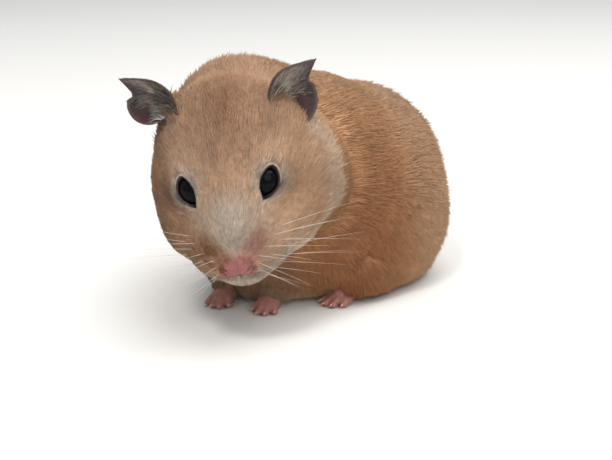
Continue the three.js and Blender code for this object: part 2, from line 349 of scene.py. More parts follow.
def toe_lines(count, width, knuckle, length, radius, spread, shorter):
    """For each toe its start at the knuckle, its end and its heading, in the frame of the foot."""
    for i in range(count):
        across = 2 * i / (count - 1) - 1
        heading = math.radians(spread * across)
        long = length * (1 - shorter * across ** 2)
        way = np.array([math.sin(heading), -math.cos(heading), 0])
        start = np.array([width / 2 * across, knuckle + TOE_ARC * across ** 2, radius * 1.5])
        end = start + way * long
        end[2] = radius * 0.9
        yield start, end, way


def toes(q, layout):
    """A field for each toe of a foot, bent down at its middle."""
    radius = layout["radius"]
    made = []
    for start, end, _way in toe_lines(**layout):
        middle = (start + end) / 2 + (0, 0, 0.25)
        toe = melt([rod(q, start, middle, radius * 0.92, radius * 0.8),
                    rod(q, middle, end, radius * 0.8, radius * 0.7),
                    ellipsoid(q, end - (0, 0, radius * 0.25), (radius * 0.72, radius * 0.85, radius * 0.6))],
                   0.18)
        made.append(toe)
    return made


def forepaw_frame(side):
    return CHEST.within((side * FOREPAW_SPREAD / 2, -4.4, 0), np.eye(3))


def hindfoot_frame(side):
    return WORLD.within((side * HINDFOOT_SPREAD / 2, -8, 0), turned(turn=-6 * side))


def forepaw(points, side):
    q = forepaw_frame(side).inside(points)
    palm = melt([ellipsoid(q, (0, 0, 1.7), (2.5, 3.0, 2.0)), rod(q, (0, 1, 2.4), (0, 3.6, 5), 1.9, 2.2)], 0.5)
    return carved(melt([palm, *toes(q, FOREPAW)], 0.3), points[:, 2] - 0.05, 0.1)


def hindfoot(points, side):
    q = hindfoot_frame(side).inside(points)
    sole = rod(q, (0, 9, 1.8), (0, 0, 1.7), 2.1, 2.5)
    return carved(melt([sole, *toes(q, HINDFOOT)], 0.3), points[:, 2] - 0.05, 0.1)


def tail(points):
    return rod(points, (0, 32, 11), (0, 41.4, 6.7), 2.3, 0.7)


# ---- Meshes ----


def line(low, high, pitch):
    return np.linspace(low, high, max(2, int(round((high - low) / pitch)) + 1))


def graded(*stretches):
    """Grid lines whose pitch changes from one stretch to the next."""
    lines = [line(*s) for s in stretches]
    return np.unique(np.concatenate(lines).round(6))


def field_on_grid(field, axes, block=8, chunk=60000):
    """The field at every grid point; blocks of the grid far from the surface get one value each."""
    shape = np.array([len(a) for a in axes])
    blocks = -(-shape // block)
    spots = np.indices(blocks).reshape(3, -1)
    low = spots * block
    high = np.minimum(low + block, shape[:, None] - 1)
    ends = [np.stack([a[low[k]], a[high[k]]]) for k, a in enumerate(axes)]
    centres = np.stack([e.mean(0) for e in ends], 1)
    reach = np.linalg.norm([e[1] - e[0] for e in ends], axis=0) / 2
    coarse = field(centres)
    values = coarse.reshape(blocks)
    near = (np.abs(coarse) < 1.7 * reach + 1).reshape(blocks)
    for k in range(3):
        values = values.repeat(block, axis=k)
        near = near.repeat(block, axis=k)
    within = tuple(slice(n) for n in shape)
    values = np.ascontiguousarray(values[within]).ravel()
    ids = np.flatnonzero(near[within])
    for start in range(0, len(ids), chunk):
        some = ids[start:start + chunk]
        at = np.unravel_index(some, shape)
        values[some] = field(np.stack([a[i] for a, i in zip(axes, at)], 1))
    return values.reshape(shape)


def net(field, axes):
    """A closed surface of quads where the field is zero: one point in each grid cell it crosses."""
    values = field_on_grid(field, axes)
    inside = values < 0
    cells = np.array(values.shape) - 1
    sums = np.zeros((np.prod(cells), 3))
    hits = np.zeros(np.prod(cells))
    quads = []
    for axis in range(3):
        low = [slice(None)] * 3
        high = [slice(None)] * 3
        low[axis], high[axis] = slice(None, -1), slice(1, None)
        spots = np.argwhere(inside[tuple(low)] != inside[tuple(high)])
        ahead = spots.copy()
        ahead[:, axis] += 1
        a, b = values[tuple(spots.T)], values[tuple(ahead.T)]
        points = np.stack([axes[k][spots[:, k]] for k in range(3)], 1)
        points[:, axis] += a / (a - b) * (axes[axis][ahead[:, axis]] - points[:, axis])
        second, third = (axis + 1) % 3, (axis + 2) % 3
        ring = []
        for back_second, back_third in ((1, 1), (0, 1), (0, 0), (1, 0)):
            cell = spots.copy()
            cell[:, second] -= back_second
            cell[:, third] -= back_third
            flat = np.ravel_multi_index(cell.T, cells)
            ring.append(flat)
            hits += np.bincount(flat, minlength=len(hits))
            for k in range(3):
                sums[:, k] += np.bincount(flat, points[:, k], len(hits))
        ring = np.stack(ring, 1)
        ring[a > b] = ring[a > b][:, ::-1]
        quads.append(ring)
    used = np.flatnonzero(hits)
    index = np.full(len(hits), -1)
    index[used] = np.arange(len(used))
    return sums[used] / hits[used, None], index[np.concatenate(quads)]


def slope(field, points, width=0.08):
    """The field's gradient by central differences."""
    made = np.empty_like(points)
    for k in range(3):
        shift = np.zeros(3)
        shift[k] = width
        made[:, k] = (field(points + shift) - field(points - shift)) / (2 * width)
    return made


def settled(field, points, edges, rounds=2):
    """Evens out the spacing of a mesh's points, and lays them on the field's surface."""
    for _ in range(rounds):
        near = np.zeros_like(points)
        count = np.bincount(edges.ravel(), minlength=len(points))[:, None]
        for k in range(3):
            near[:, k] = (np.bincount(edges[:, 0], points[edges[:, 1], k], len(points))
                          + np.bincount(edges[:, 1], points[edges[:, 0], k], len(points)))
        pull = near / count - points
        g = slope(field, points)
        g2 = np.maximum(dot(g, g), 0.09)
        points = points + 0.5 * (pull - g * dot(pull, g) / g2)
        push = field(points)[:, None] * g / g2
        points = points - push * np.minimum(1, 0.4 / np.maximum(np.linalg.norm(push, axis=1), 1e-9))[:, None]
    return points


def smoothed(mesh):
    mesh.polygons.foreach_set("use_smooth", np.full(len(mesh.polygons), True))
    return mesh


def make_mesh(name, points, faces):
    mesh = bpy.data.meshes.new(name)
    mesh.vertices.add(len(points))
    mesh.vertices.foreach_set("co", (np.asarray(points) * MM).astype(np.float32).ravel())
    mesh.loops.add(faces.size)
    mesh.loops.foreach_set("vertex_index", faces.astype(np.int32).ravel())
    mesh.polygons.add(len(faces))
    mesh.polygons.foreach_set("loop_start", np.arange(0, faces.size, faces.shape[1], dtype=np.int32))
    mesh.update(calc_edges=True)
    return smoothed(mesh)


def add_object(name, mesh):
    made = bpy.data.objects.new(name, mesh)
    bpy.context.scene.collection.objects.link(made)
    return made


def places(mesh):
    """The points of a mesh, in millimetres."""
    points = np.empty(len(mesh.vertices) * 3, np.float32)
    mesh.vertices.foreach_get("co", points)
    return points.reshape(-1, 3).astype(float) / MM


def place(mesh, points):
    """Moves the points of a mesh, in millimetres."""
    mesh.vertices.foreach_set("co", (points * MM).astype(np.float32).ravel())
    mesh.update()


def edges_of(mesh):
    edges = np.empty(len(mesh.edges) * 2, np.int32)
    mesh.edges.foreach_get("vertices", edges)
    return edges.reshape(-1, 2)


def mended(bm):
    """Opens the few places where two sheets of a surface share an edge, and closes each again."""
    for _ in range(4):
        bad = {v for e in bm.edges if not e.is_manifold for v in e.verts}
        bad |= {v for v in bm.verts if not v.is_manifold}
        if not bad:
            return
        bmesh.ops.delete(bm, geom=list(bad), context="VERTS")
        loose = [v for v in bm.verts if not v.link_faces]
        bmesh.ops.delete(bm, geom=loose, context="VERTS")
        rims = [e for e in bm.edges if e.is_boundary]
        bmesh.ops.holes_fill(bm, edges=rims, sides=0)
    raise RuntimeError("a surface stayed open or shared an edge")


def split(bm, wanted):
    """Splits the faces whose middles are wanted into four."""
    near = wanted(np.array([f.calc_center_median() for f in bm.faces]) / MM)
    bm.faces.ensure_lookup_table()
    edges = {e for i in np.flatnonzero(near) for e in bm.faces[i].edges}
    bmesh.ops.subdivide_edges(bm, edges=list(edges), cuts=1, use_grid_fill=True)


def edited(mesh, edit, *settings):
    """Puts a mesh through an edit of its faces."""
    bm = bmesh.new()
    bm.from_mesh(mesh)
    edit(bm, *settings)
    bm.to_mesh(mesh)
    bm.free()


def moulded(name, field, axes, finer=None, rounds=2):
    """A mesh of the field's surface, with its faces split again wherever finer says so."""
    mesh = make_mesh(name, *net(field, axes))
    edited(mesh, mended)
    if finer:
        edited(mesh, split, finer)
        place(mesh, settled(field, places(mesh), edges_of(mesh), 1))
    edited(mesh, lambda bm: bmesh.ops.triangulate(bm, faces=bm.faces))
    place(mesh, settled(field, places(mesh), edges_of(mesh), rounds))
    return mesh


def box_lines(low, high, pitch):
    return [line(a, b, pitch) for a, b in zip(low, high)]


# ---- Ears: thin hollow leaves, with the upper third folded forward to a point ----

# stream is the heading in degrees of the long hairs in the hollow
EARS = {"left": dict(at=(12.8, 13.5, 8.6), lean=-35.5, roll=5.5, turn=18.5,
                     tuck=0.0, point=4.7, notch=1.1, stream=41),
        "right": dict(at=(12.3, 13.5, 10.8), lean=-26.0, roll=3.3, turn=8.0,
                      tuck=4.6, point=4.2, notch=1.6, stream=18)}


def ear_frame(name):
    side, ear = SIDES[name], EARS[name]
    lean = turned(ear["lean"], ear["roll"] * side, ear["turn"] * side, "YZX")
    return HEAD.within(np.array(ear["at"]) * (side, 1, 1), lean)


def turn_from(angle, middle):
    """The smaller turn between two angles, in degrees from -180 to 180."""
    return (angle - middle + 180) % 360 - 180


def ear_rim(name, angle):
    """How far the rim is from the middle of the ear, in the direction of an angle in degrees."""
    ear = EARS[name]
    leaf = EAR_RADIUS + 2.5 * np.cos(np.radians(angle - 50))
    root = 3.2 * bell(turn_from(angle, 150), 42)
    lobe = ear["tuck"] * bell(turn_from(angle, -50), 42)
    away = turn_from(angle, EAR_TIP)
    point = ear["point"] * np.exp(-np.abs(away) / np.where(away < 0, 5, 15))
    return leaf - root - lobe + point - ear["notch"] * bell(away + 7, 8)


def ear_leaf(name, angle, out, lift=0.0):
    """Points of the ear's inner face, or lift above it on the outer face, in its own frame."""
    side = SIDES[name]
    reach = ear_rim(name, angle) * out
    hollow = EAR_DEPTH * (1 - out ** 2)
    away = turn_from(angle, EAR_TIP)
    folded = step(-6, 3, away) * (1 - step(45, 100, away))
    lobed = step(-130, -80, away) * (1 - step(-10, 0, away))
    hollow = hollow - 1.9 * folded * out ** 2.5 + 0.9 * lobed * out ** 2 * (1 - step(0.85, 1, out))
    hollow = hollow - 0.7 * lobed * step(0.82, 1, out)
    ripple = 0.13 * np.sin(np.radians(angle) * 9) * out * (1 - out)
    return np.stack([side * reach * np.cos(np.radians(angle)),
                     hollow + ripple + lift,
                     reach * np.sin(np.radians(angle))], -1)


def ear_mesh(name, rings=16, spokes=110, wall=0.85, thinning=0.45):
    """The leaf as a closed sheet, thinner towards its rim."""
    angle = np.arange(spokes) * 360 / spokes
    out = (np.arange(1, rings + 1) / rings) ** 0.85
    angles, outs = np.meshgrid(angle, out)
    own = ear_frame(name)
    sheets = []
    for lift in (0.0, 1.0):
        thick = lift * (wall - thinning * outs)
        middle = ear_leaf(name, np.zeros(1), np.zeros(1), lift * wall)
        sheets.append(np.concatenate([middle, ear_leaf(name, angles, outs, thick).reshape(-1, 3)]))
    points = own.outside(np.concatenate(sheets))
    size = 1 + rings * spokes
    here = np.arange(spokes)
    then = (here + 1) % spokes
    faces = []
    for sheet in (0, 1):
        def at(ring, spoke, base=sheet * size):
            return base + 1 + ring * spokes + spoke
        made = [np.stack([np.full(spokes, sheet * size), at(0, here), at(0, then)], 1)]
        for ring in range(rings - 1):
            made.append(np.stack([at(ring, here), at(ring + 1, here), at(ring + 1, then)], 1))
            made.append(np.stack([at(ring, here), at(ring + 1, then), at(ring, then)], 1))
        made = np.concatenate(made)
        faces.append(made if sheet == 0 else made[:, ::-1])
    last = 1 + (rings - 1) * spokes
    faces.append(np.stack([last + here, size + last + here, size + last + then], 1))
    faces.append(np.stack([last + here, size + last + then, last + then], 1))
    faces = np.concatenate(faces)
    if SIDES[name] < 0:
        faces = faces[:, ::-1]
    return make_mesh("ear_" + name, points, faces)


def united(first, others):
    """One closed mesh from overlapping closed meshes."""
    made = add_object("united", first)
    for mesh in others:
        other = add_object("part", mesh)
        join = made.modifiers.new("join", "BOOLEAN")
        join.operation, join.solver, join.object = "UNION", "MANIFOLD", other
        graph = bpy.context.evaluated_depsgraph_get()
        whole = bpy.data.meshes.new_from_object(made.evaluated_get(graph))
        made.modifiers.clear()
        made.data = whole
        bpy.data.objects.remove(other)
    bpy.data.objects.remove(made)
    return whole


def skin_lines(fine):
    """Grid lines for the body, closest together around the face."""
    return [graded((-31, -9, 2.7 * fine), (-9, 2, 1.6 * fine), (2, 29, fine), (29, 31, 1.6 * fine)),
            graded((-52, -30, fine), (-30, -14, 1.6 * fine), (-14, 43, 2.7 * fine)),
            graded((-1, 13, 2.4 * fine), (13, 41, fine), (41, 60, 1.6 * fine))]


def on_the_face(points):
    """Where the skin has its finest work: around the eyes, the nose and the lips."""
    q = HEAD.inside(points)
    near = np.linalg.norm(q - (0, -14, -10.5), axis=1) < 5.5
    for s in SIDES.values():
        near |= np.linalg.norm(q - eye_at(s), axis=1) < 5.8
    return near


def skin_mesh(fine):
    """The whole skin as one closed mesh: body, ears, feet and tail."""
    whole = moulded("skin", body, skin_lines(fine), on_the_face)
    parts = [ear_mesh(name) for name in SIDES]
    for s in SIDES.values():
        for shape, own, low, high in (
                (forepaw, forepaw_frame(s), (-4.5, -6.5, -0.5), (4.5, 6.5, 8)),
                (hindfoot, hindfoot_frame(s), (-5.5, -7, -0.5), (5.5, 12.5, 5))):
            def field(points, shape=shape, side=s, own=own):
                return shape(own.outside(points), side)
            made = moulded("foot", field, box_lines(low, high, 0.75 * fine), rounds=1)
            place(made, own.outside(places(made)))
            parts.append(made)
    parts.append(moulded("tail", tail, box_lines((-4, 28, 2), (4, 44, 15), 1.4 * fine)))
    return united(whole, parts)


# ---- Colours, as sRGB ----

APRICOT = "#BA8D67"
RUFOUS = "#A5724F"
SAND = "#B2937A"
CREAM = "#DCC7AC"
ASH = "#B3A596"
LID_GREY = "#8B8075"
FAWN = "#9C8068"
BROWN = "#7A5138"
UMBER = "#86634C"
# tan of the painted light on the top of the back and the rump's far edge
PAINTED_LIGHT_TAN = "#C09B7D"
WHITE_HAIR = "#D0C6B9"
LIP = "#B8AA9C"
PINK = "#935653"
ROSE = "#9E6B62"
TOE_PINK = "#A66F66"
SLATE = "#594D4D"
MAROON = "#4A302E"
SILVER = "#DACEBD"
LID_EDGE = "#2A1F1C"


def srgb(text):
    return np.array([int(text[i:i + 2], 16) for i in (1, 3, 5)]) / 255


def linear(colour):
    colour = np.asarray(colour, float)
    return np.where(colour <= 0.04045, colour / 12.92, ((np.maximum(colour, 0) + 0.055) / 1.055) ** 2.4)


def socket_colour(text):
    return (*linear(srgb(text)), 1.0)


class Noise:
    """Smooth random values in space, from -1 to 1, the same for the same seed."""

    def __init__(self, seed, size=32):
        self.size = size
        self.lattice = np.random.default_rng(seed).uniform(-1, 1, (size, size, size))

    def __call__(self, points, pitch):
        at = np.asarray(points) / pitch
        low = np.floor(at).astype(int)
        t = at - low
        t = t * t * (3 - 2 * t)
        total = 0.0
        for corner in np.ndindex(2, 2, 2):
            share = np.prod([t[:, k] if corner[k] else 1 - t[:, k] for k in range(3)], axis=0)
            x, y, z = ((low + corner) % self.size).T
            total = total + share * self.lattice[x, y, z]
        return total


MOTTLE = Noise(3)


# ---- Markings, the same for skin and coat ----


def blend(colour, text, amount):
    return colour + (srgb(text) - colour) * np.clip(amount, 0, 1)[:, None]


def ear_share(points):
    """1 on the leaf of an ear, by name."""
    made = {}
    for name in SIDES:
        own = ear_frame(name).inside(points)
        reach = np.hypot(own[:, 0], own[:, 2])
        angle = np.degrees(np.arctan2(own[:, 2], own[:, 0] * SIDES[name]))
        out = reach / ear_rim(name, angle)
        behind = own[:, 1] - EAR_DEPTH * (1 - np.minimum(out, 1) ** 2)
        made[name] = (out < 1.15) & (np.abs(behind) < 2.6)
    return made


def whereabouts(points):
    """Where points lie on the head and the body, and how much each of its parts counts there."""
    head, neck, _trunk, _thigh, foreleg = shares_of(masses(points))
    q = HEAD.inside(points)
    rear, up = points[:, 1], points[:, 2]
    # the face reaches back over the neck to the edge of the ruff
    edge = rear + 1.03 * np.maximum(30 - up, 0) + 18.5
    face = np.maximum(head, neck * np.maximum(step(0.5, -0.5, edge), 0.7 * step(46, 52, up)))
    return SimpleNamespace(points=points, q=q, x=q[:, 0], y=q[:, 1], z=q[:, 2], rear=rear, up=up, edge=edge,
                           head=head, face=face, rest=1 - face, foreleg=foreleg, wander=MOTTLE(points, 6.0))


def body_markings(at):
    """Golden, with cream and fawn below; deeper on the lower flanks, partly a rufous tone and partly painted
    shade; paler over the back and the rump as painted light from above and at the far edge; and a painted
    shadow in the crease behind the ruff.
    """
    rest, rear, up = at.rest, at.rear, at.up
    colour = np.tile(srgb(APRICOT), (len(rest), 1))
    # deeper rufous on the front and lower flanks: partly the coat's own tone, partly painted shade that
    # darkens it lower down, away from the light above
    colour = blend(colour, RUFOUS, rest * (0.85 + 0.2 * at.wander) * step(44, 20, up) * step(12, -2, rear))
    # painted light: the rump's far edge and the top of the back are made paler where light from above and
    # behind falls on the coat
    colour = blend(colour, PAINTED_LIGHT_TAN, 0.85 * rest * step(0, 17, rear))
    colour = blend(colour, PAINTED_LIGHT_TAN, 0.6 * rest * step(42, 54, up))
    # painted shadow: a dark band in the crease behind the cheek ruff
    colour = blend(colour, BROWN, 0.4 * rest * bell(at.edge - 2.5, 2.2) * step(50, 40, up))
    colour = blend(colour, CREAM, 0.75 * rest * step(7, 2, up) * step(21, 15, np.abs(at.points[:, 0])))
    return blend(colour, FAWN, at.foreleg * 0.7 + rest * 0.7 * step(-17, -23, rear) * step(22, 12, up))


def face_markings(colour, at):
    """Sand, with a darker crown and forehead, warm under the eyes, a pale ruff, and painted shade down the
    right side of the face.
    """
    face, x, y, z = at.face, at.x, at.y, at.z
    colour = blend(colour, SAND, face)
    colour = blend(colour, UMBER, face * (0.47 * step(4, 10, z) + 0.3 * step(17, 25, y)))
    colour = blend(colour, UMBER, face * 0.42 * bell(x, 6) * step(-1, 3, z) * step(3, -4, y))
    streaks = 0.7 + 0.5 * MOTTLE(at.q * (1.0, 0.25, 0.25), 1.1)
    colour = blend(colour, UMBER, face * streaks * bell(x - 0.5, 4.5) * bell(y - 13, 9) * step(4, 9, z))
    cheek = bell(np.abs(x) - 10, 4) * bell(y + 1.5, 4.5) * bell(z + 8, 4)
    colour = blend(colour, RUFOUS, face * 0.4 * cheek)
    # painted shade: umber darkens the right side of the face, which faces away from the light
    colour = blend(colour, UMBER, face * 0.65 * step(-7, -14, x + 0.3 * z))
    ruff = face * bell(at.edge + 1.5, 3.0) * step(48, 38, at.up)
    colour = blend(colour, CREAM, ruff * (0.65 + 0.3 * at.wander))
    return blend(colour, CREAM, face * 0.5 * step(-11, -16, z) * step(-12, -6, y))


def muzzle_markings(colour, at):
    """Ash on the bridge, pale lips, rose whisker beds with painted shade browning and speckling the right
    one, pink leather; and how moist it is.
    """
    face, head, q, x, y, z = at.face, at.head, at.q, at.x, at.y, at.z
    bridge = bell(x / (0.9 + 5.2 * step(-9, 0, z)), 1.0) * step(-3, -10, y)
    colour = blend(colour, ASH, face * 0.9 * bridge)
    colour = blend(colour, LIP, face * 0.9 * step(-6, -10, y) * step(-9.5, -12.0, z - 0.1 * x))
    nose = nose_reach(q)
    colour = blend(colour, ROSE, face * 0.85 * bell(np.maximum(nose - 1, 0), 0.45))
    # the left whisker bed is rose; the right one is browned as painted shade
    for s, shade, amount in ((1, ROSE, 0.6), (-1, BROWN, 0.45)):
        bed = rod(q, (1.6 * s, -14.8, -7.0), (5.6 * s, -12.8, -3.6), 0.6, 0.9)
        colour = blend(colour, shade, face * amount * bell(np.maximum(bed, 0), 1.3))
    # painted shade: brown specks over the right whisker bed
    right_bed_shade = rod(q, (-3.0, -14.4, -7.5), (-8.0, -11.8, -5.5), 1.2, 1.2)
    specks = 0.4 + 0.7 * MOTTLE(at.points, 0.7)
    colour = blend(colour, BROWN, face * bell(np.maximum(right_bed_shade, 0), 1.5) * specks)
    leather = step(1.25, 0.85, nose) * step(-11.3, -12.6, y)
    colour = blend(colour, PINK, head * leather)
    lips = bell(mouth_height(q), 0.4) * step(-9, -11, y) * step(5, 3.5, np.abs(x))
    return blend(colour, MAROON, head * 0.6 * lips), head * leather * 0.75


def lid_markings(colour, moist, at):
    """Pale rings round the eyes, and dark moist edges to the lids."""
    for s in SIDES.values():
        gap, reach, _facing = lid_gap(at.q, s)
        close = bell(np.maximum(reach - EYE_RADIUS - 1, 0), 1.2)
        colour = blend(colour, ASH, at.head * 0.75 * bell(np.maximum(gap - 1.0, 0), 1.3) * close)
        colour = blend(colour, LID_GREY, at.head * 0.9 * bell(np.maximum(gap, 0), 0.75) * close)
        edge = step(0.4, 0.1, gap) * (reach < EYE_RADIUS + 1.2)
        socket = reach < EYE_RADIUS + 0.25
        colour = blend(colour, LID_EDGE, np.maximum(edge, socket * 1.0))
        moist = np.maximum(moist, edge)
    return colour, moist


def spot_markings(colour, at):
    """A small dark spot on the nape, and a pale patch with a dark parting behind the left ear."""
    for shade, amount, middle, size in ((BROWN, 0.6, (1.9, 13.7, 12.9), (1, 2, 2)),
                                        (WHITE_HAIR, 0.6, (19.0, 10.3, 2.0), (3.0, 2.5, 1.6)),
                                        (RUFOUS, 0.8, (20.5, 13.6, 2.5), (2.0, 1.1, 1.0))):
        reach = np.linalg.norm((at.q - middle) / size, axis=1)
        colour = blend(colour, shade, amount * bell(reach, 1.0))
    return colour


def bare_markings(colour, roots):
    """The pink of the toes and the tail, the slate of the ears, and maroon in their hollows, partly the ears'
    reddish skin and partly painted shade.
    """
    outside = flesh(roots) > 0.4
    low = outside & (roots[:, 2] < 7) & (roots[:, 1] < 12)
    colour = blend(colour, TOE_PINK, low * 0.9)
    at_tail = outside & (tail(roots) < 0.4)
    colour = blend(colour, ROSE, at_tail * 0.8)
    for name, on_ear in ear_share(roots).items():
        on_ear = on_ear & outside & (body(roots) > 0.15)
        own = ear_frame(name).inside(roots)
        # maroon deep in the hollow of each ear: partly its reddish skin, partly painted shade in the cup
        depth = bell(np.hypot((own[:, 0] * SIDES[name] - 4.9) / 2.2, (own[:, 2] - 0.2) / 3.2), 1.0)
        colour = np.where(on_ear[:, None], srgb(SLATE), colour)
        colour = blend(colour, MAROON, on_ear * 0.85 * depth * (own[:, 1] < EAR_DEPTH + 1.2))
    return colour


def markings(points, roots=None):
    """The colour at points of the skin, or of tufts that grow from roots, and how bare and moist it is."""
    at = whereabouts(points)
    colour, moist = muzzle_markings(face_markings(body_markings(at), at), at)
    colour, moist = lid_markings(colour, moist, at)
    colour = bare_markings(spot_markings(colour, at), points if roots is None else roots)
    return linear(colour), moist


# ---- Coat ----

BODY_TUFTS, EAR_TUFTS, FOOT_TUFTS = 25.0, 20.0, 5   # on a square millimetre
STREAM_HAIRS = 8600                                 # tried in the hollow of each ear
PATCH = 0.003                                       # of the bake's map, for each tuft
# darker roots and lighter tips: partly the hair's own darker bases, partly painted shade between the strands
# and painted light on their tips
FUR_SHADES = (0.76, 0.98, 1.1)                      # at the root, the bend and the tip
EAR_SHADES = (0.7, 0.95, 1.15)


def flow(points, normals):
    """The way the hair lies: away from the nose on the head, and back and down over the body."""
    fields = masses(points)
    head, neck, trunk, thigh, foreleg = shares_of(fields, 2.5)
    q = HEAD.inside(points)
    away = unit(q - WHORL) + (0, 0.25, 0.0)
    for s in SIDES.values():
        rel = q - eye_at(s)
        near = bell(np.maximum(np.linalg.norm(rel, axis=1) - EYE_RADIUS, 0), 1.7)
        out = unit(rel)
        away = away + out * near[:, None] * (0.4 - 1.1 * np.minimum(dot(away, out), 0))
    on_head = HEAD.way(unit(away))
    x, y, z = points.T
    fall = 0.1 + 1.5 * step(32, 4, z)
    back = np.stack([0.004 * x, np.ones(len(x)), -fall], 1)
    ahead = step(0.1, 0.8, -normals[:, 1])[:, None]
    back = unit(back) * (1 - ahead) + np.array([0, 0, -1.0]) * ahead
    nape = HEAD.way((0, 1, 0.1))
    turn = step(-30, -10, y)[:, None]
    on_neck = unit(nape * (1 - turn) + back * turn)
    on_leg = np.tile((0.0, -0.35, -1.0), (len(x), 1))
    way = (head[:, None] * on_head + neck[:, None] * on_neck
           + (trunk + thigh)[:, None] * unit(back) + foreleg[:, None] * unit(on_leg))
    way = way - normals * dot(way, normals)
    return unit(way)


def strands(points, head):
    """Uneven strands in the coat, drawn out along its lie, from -1 to 1."""
    rel = HEAD.inside(points) - WHORL
    reach = np.linalg.norm(rel, axis=1)[:, None]
    face = MOTTLE(rel / reach * 22 + 0.12 * reach, 0.8)
    body_way = points * (1, 0.2, 1) + np.array([0, 0, 0.35]) * points[:, 1:2]
    return head * face + (1 - head) * MOTTLE(body_way, 0.9)


def spun(way, normals, angles):
    """Turns directions about their normals, by angles in degrees."""
    a = np.radians(angles)[:, None]
    return unit(way * np.cos(a) + np.cross(normals, way) * np.sin(a))


class Roots:
    """Where tufts grow: points on the skin, with its normals."""

    def __init__(self, points, normals):
        self.points = points
        self.normals = normals

    def pick(self, ids):
        return Roots(self.points[ids], self.normals[ids])


def triangles(mesh):
    mesh.calc_loop_triangles()
    corners = np.empty(len(mesh.loop_triangles) * 3, np.int32)
    mesh.loop_triangles.foreach_get("vertices", corners)
    return corners.reshape(-1, 3)


def sown(mesh, density, rng):
    """Scatters roots over a mesh, as many on each square millimetre as density says."""
    points = places(mesh)
    normals = np.empty(len(points) * 3, np.float32)
    mesh.vertices.foreach_get("normal", normals)
    normals = normals.reshape(-1, 3)
    faces = triangles(mesh)
    a, b, c = (points[faces[:, k]] for k in range(3))
    area = np.linalg.norm(np.cross(b - a, c - a), axis=1) / 2
    wanted = area * density((a + b + c) / 3, normals[faces].mean(1))
    count = np.floor(wanted + rng.random(len(wanted))).astype(int)
    ids = np.repeat(np.arange(len(faces)), count)
    u, v = rng.random((2, len(ids)))
    flip = u + v > 1
    u[flip], v[flip] = 1 - u[flip], 1 - v[flip]
    w = np.stack([1 - u - v, u, v], 1)[:, :, None]
    at = (points[faces[ids]] * w).sum(1)
    up = unit((normals[faces[ids]] * w).sum(1))
    return Roots(at, up)


def clumped(roots, pitch, rng):
    """For each root the nearest of a scatter of guides, and a value of its own for each guide."""
    keep = rng.random(len(roots.points)) < 1 / pitch
    guides = roots.points[keep]
    tree = KDTree(len(guides))
    for i, at in enumerate(guides):
        tree.insert(at, i)
    tree.balance()
    nearest = np.fromiter((tree.find(at)[1] for at in roots.points), int, len(roots.points))
    return guides[nearest], rng.uniform(-1, 1, len(guides))[nearest]


def octahedral(directions):
    """Unfolds directions onto a square, evenly and with no two on one spot."""
    d = directions / np.abs(directions).sum(1)[:, None]
    fold = (1 - np.abs(d[:, [1, 0]])) * np.where(d[:, :2] >= 0, 1, -1)
    flat = np.where(d[:, 2:] >= 0, d[:, :2], fold)
    return 0.5 + 0.49 * flat


def bent(roots, way, length, first, last, sunk=0.25):
    """The start, the bend and the end of tufts that leave the skin at one angle and end at another."""
    def ahead(angle, share):
        a = np.radians(angle)[:, None]
        return (way * np.cos(a) + roots.normals * np.sin(a)) * (length * share)[:, None]
    root = roots.points - roots.normals * sunk
    middle = root + ahead(first, 0.45)
    return root, middle, middle + ahead(last, 0.55)


def laid(points, normals, wanted):
    """Presses points down until they are no further out from the tips of the coat than wanted."""
    over = outline(masses(points)) - wanted
    return points - normals * np.maximum(over, 0)[:, None]


def tuft_mesh(name, roots, path, width, colours, shade, centre):
    """Closed four-faced slivers, widest at their bend."""
    count = len(roots.points)
    root, middle, tip = path
    side = unit(np.cross(tip - root, roots.normals))
    floor = 0.12 + 0.5 * (np.abs(roots.points[:, 0] * 7.31) % 1)
    # no tuft goes through the floor
    for at in (middle, tip):
        at[:, 2] = np.maximum(at[:, 2], floor)
    w = width[:, None]
    # the bend stands clear of the line from root to tip, above it or below it
    height = dot(middle - (root + tip) / 2, roots.normals)
    bend = middle + roots.normals * np.where(height > -0.2 * w, 1, -1) * w * 0.6
    points = np.stack([root, bend - side * w, bend + side * w, tip], 1)
    one = np.array([(0, 2, 1), (3, 1, 2), (0, 1, 3), (0, 3, 2)])
    sense = dot(np.cross(points[:, 2] - root, points[:, 1] - root), tip - root) < 0
    faces = np.where(sense[:, None], one, one[:, ::-1]) + 4 * np.arange(count)[:, None, None]
    faces = faces.reshape(-1, 3)
    mesh = make_mesh(name, points.reshape(-1, 3), faces)
    # each tuft darker at its root and lighter at its tip: partly the hair's own tone, partly painted shade
    # and light along the strands
    tone = np.array([shade[0], shade[1], shade[1], shade[2]])
    paint(mesh, (colours[:, None] * tone[None, :, None]).reshape(-1, 3), np.zeros(4 * count))
    spot = octahedral(roots.points - centre)
    offset = np.array([(0, -1), (-1, 0.1), (1, 0.1), (0, 1)]) * PATCH / 2
    corners = (spot[:, None] + offset[None]).reshape(-1, 2)
    layer = mesh.uv_layers.new(name="OFBake")
    layer.uv.foreach_set("vector", corners[faces.ravel()].astype(np.float32).ravel())
    mesh.normals_split_custom_set_from_vertices(np.repeat(roots.normals, 4, axis=0))
    return mesh


def paint(mesh, colours, moist):
    """Writes the markings to the mesh, with how moist it is as the fourth value."""
    layer = mesh.color_attributes.new("markings", "FLOAT_COLOR", "POINT")
    layer.data.foreach_set("color", np.column_stack([colours, moist]).astype(np.float32).ravel())


COATS = ("muzzle", "forehead", "cheek_left", "cheek_right", "crown", "nape", "back_left", "back_right",
         "haunch_left", "haunch_right", "rump_left", "rump_right", "chest", "legs", "ears")


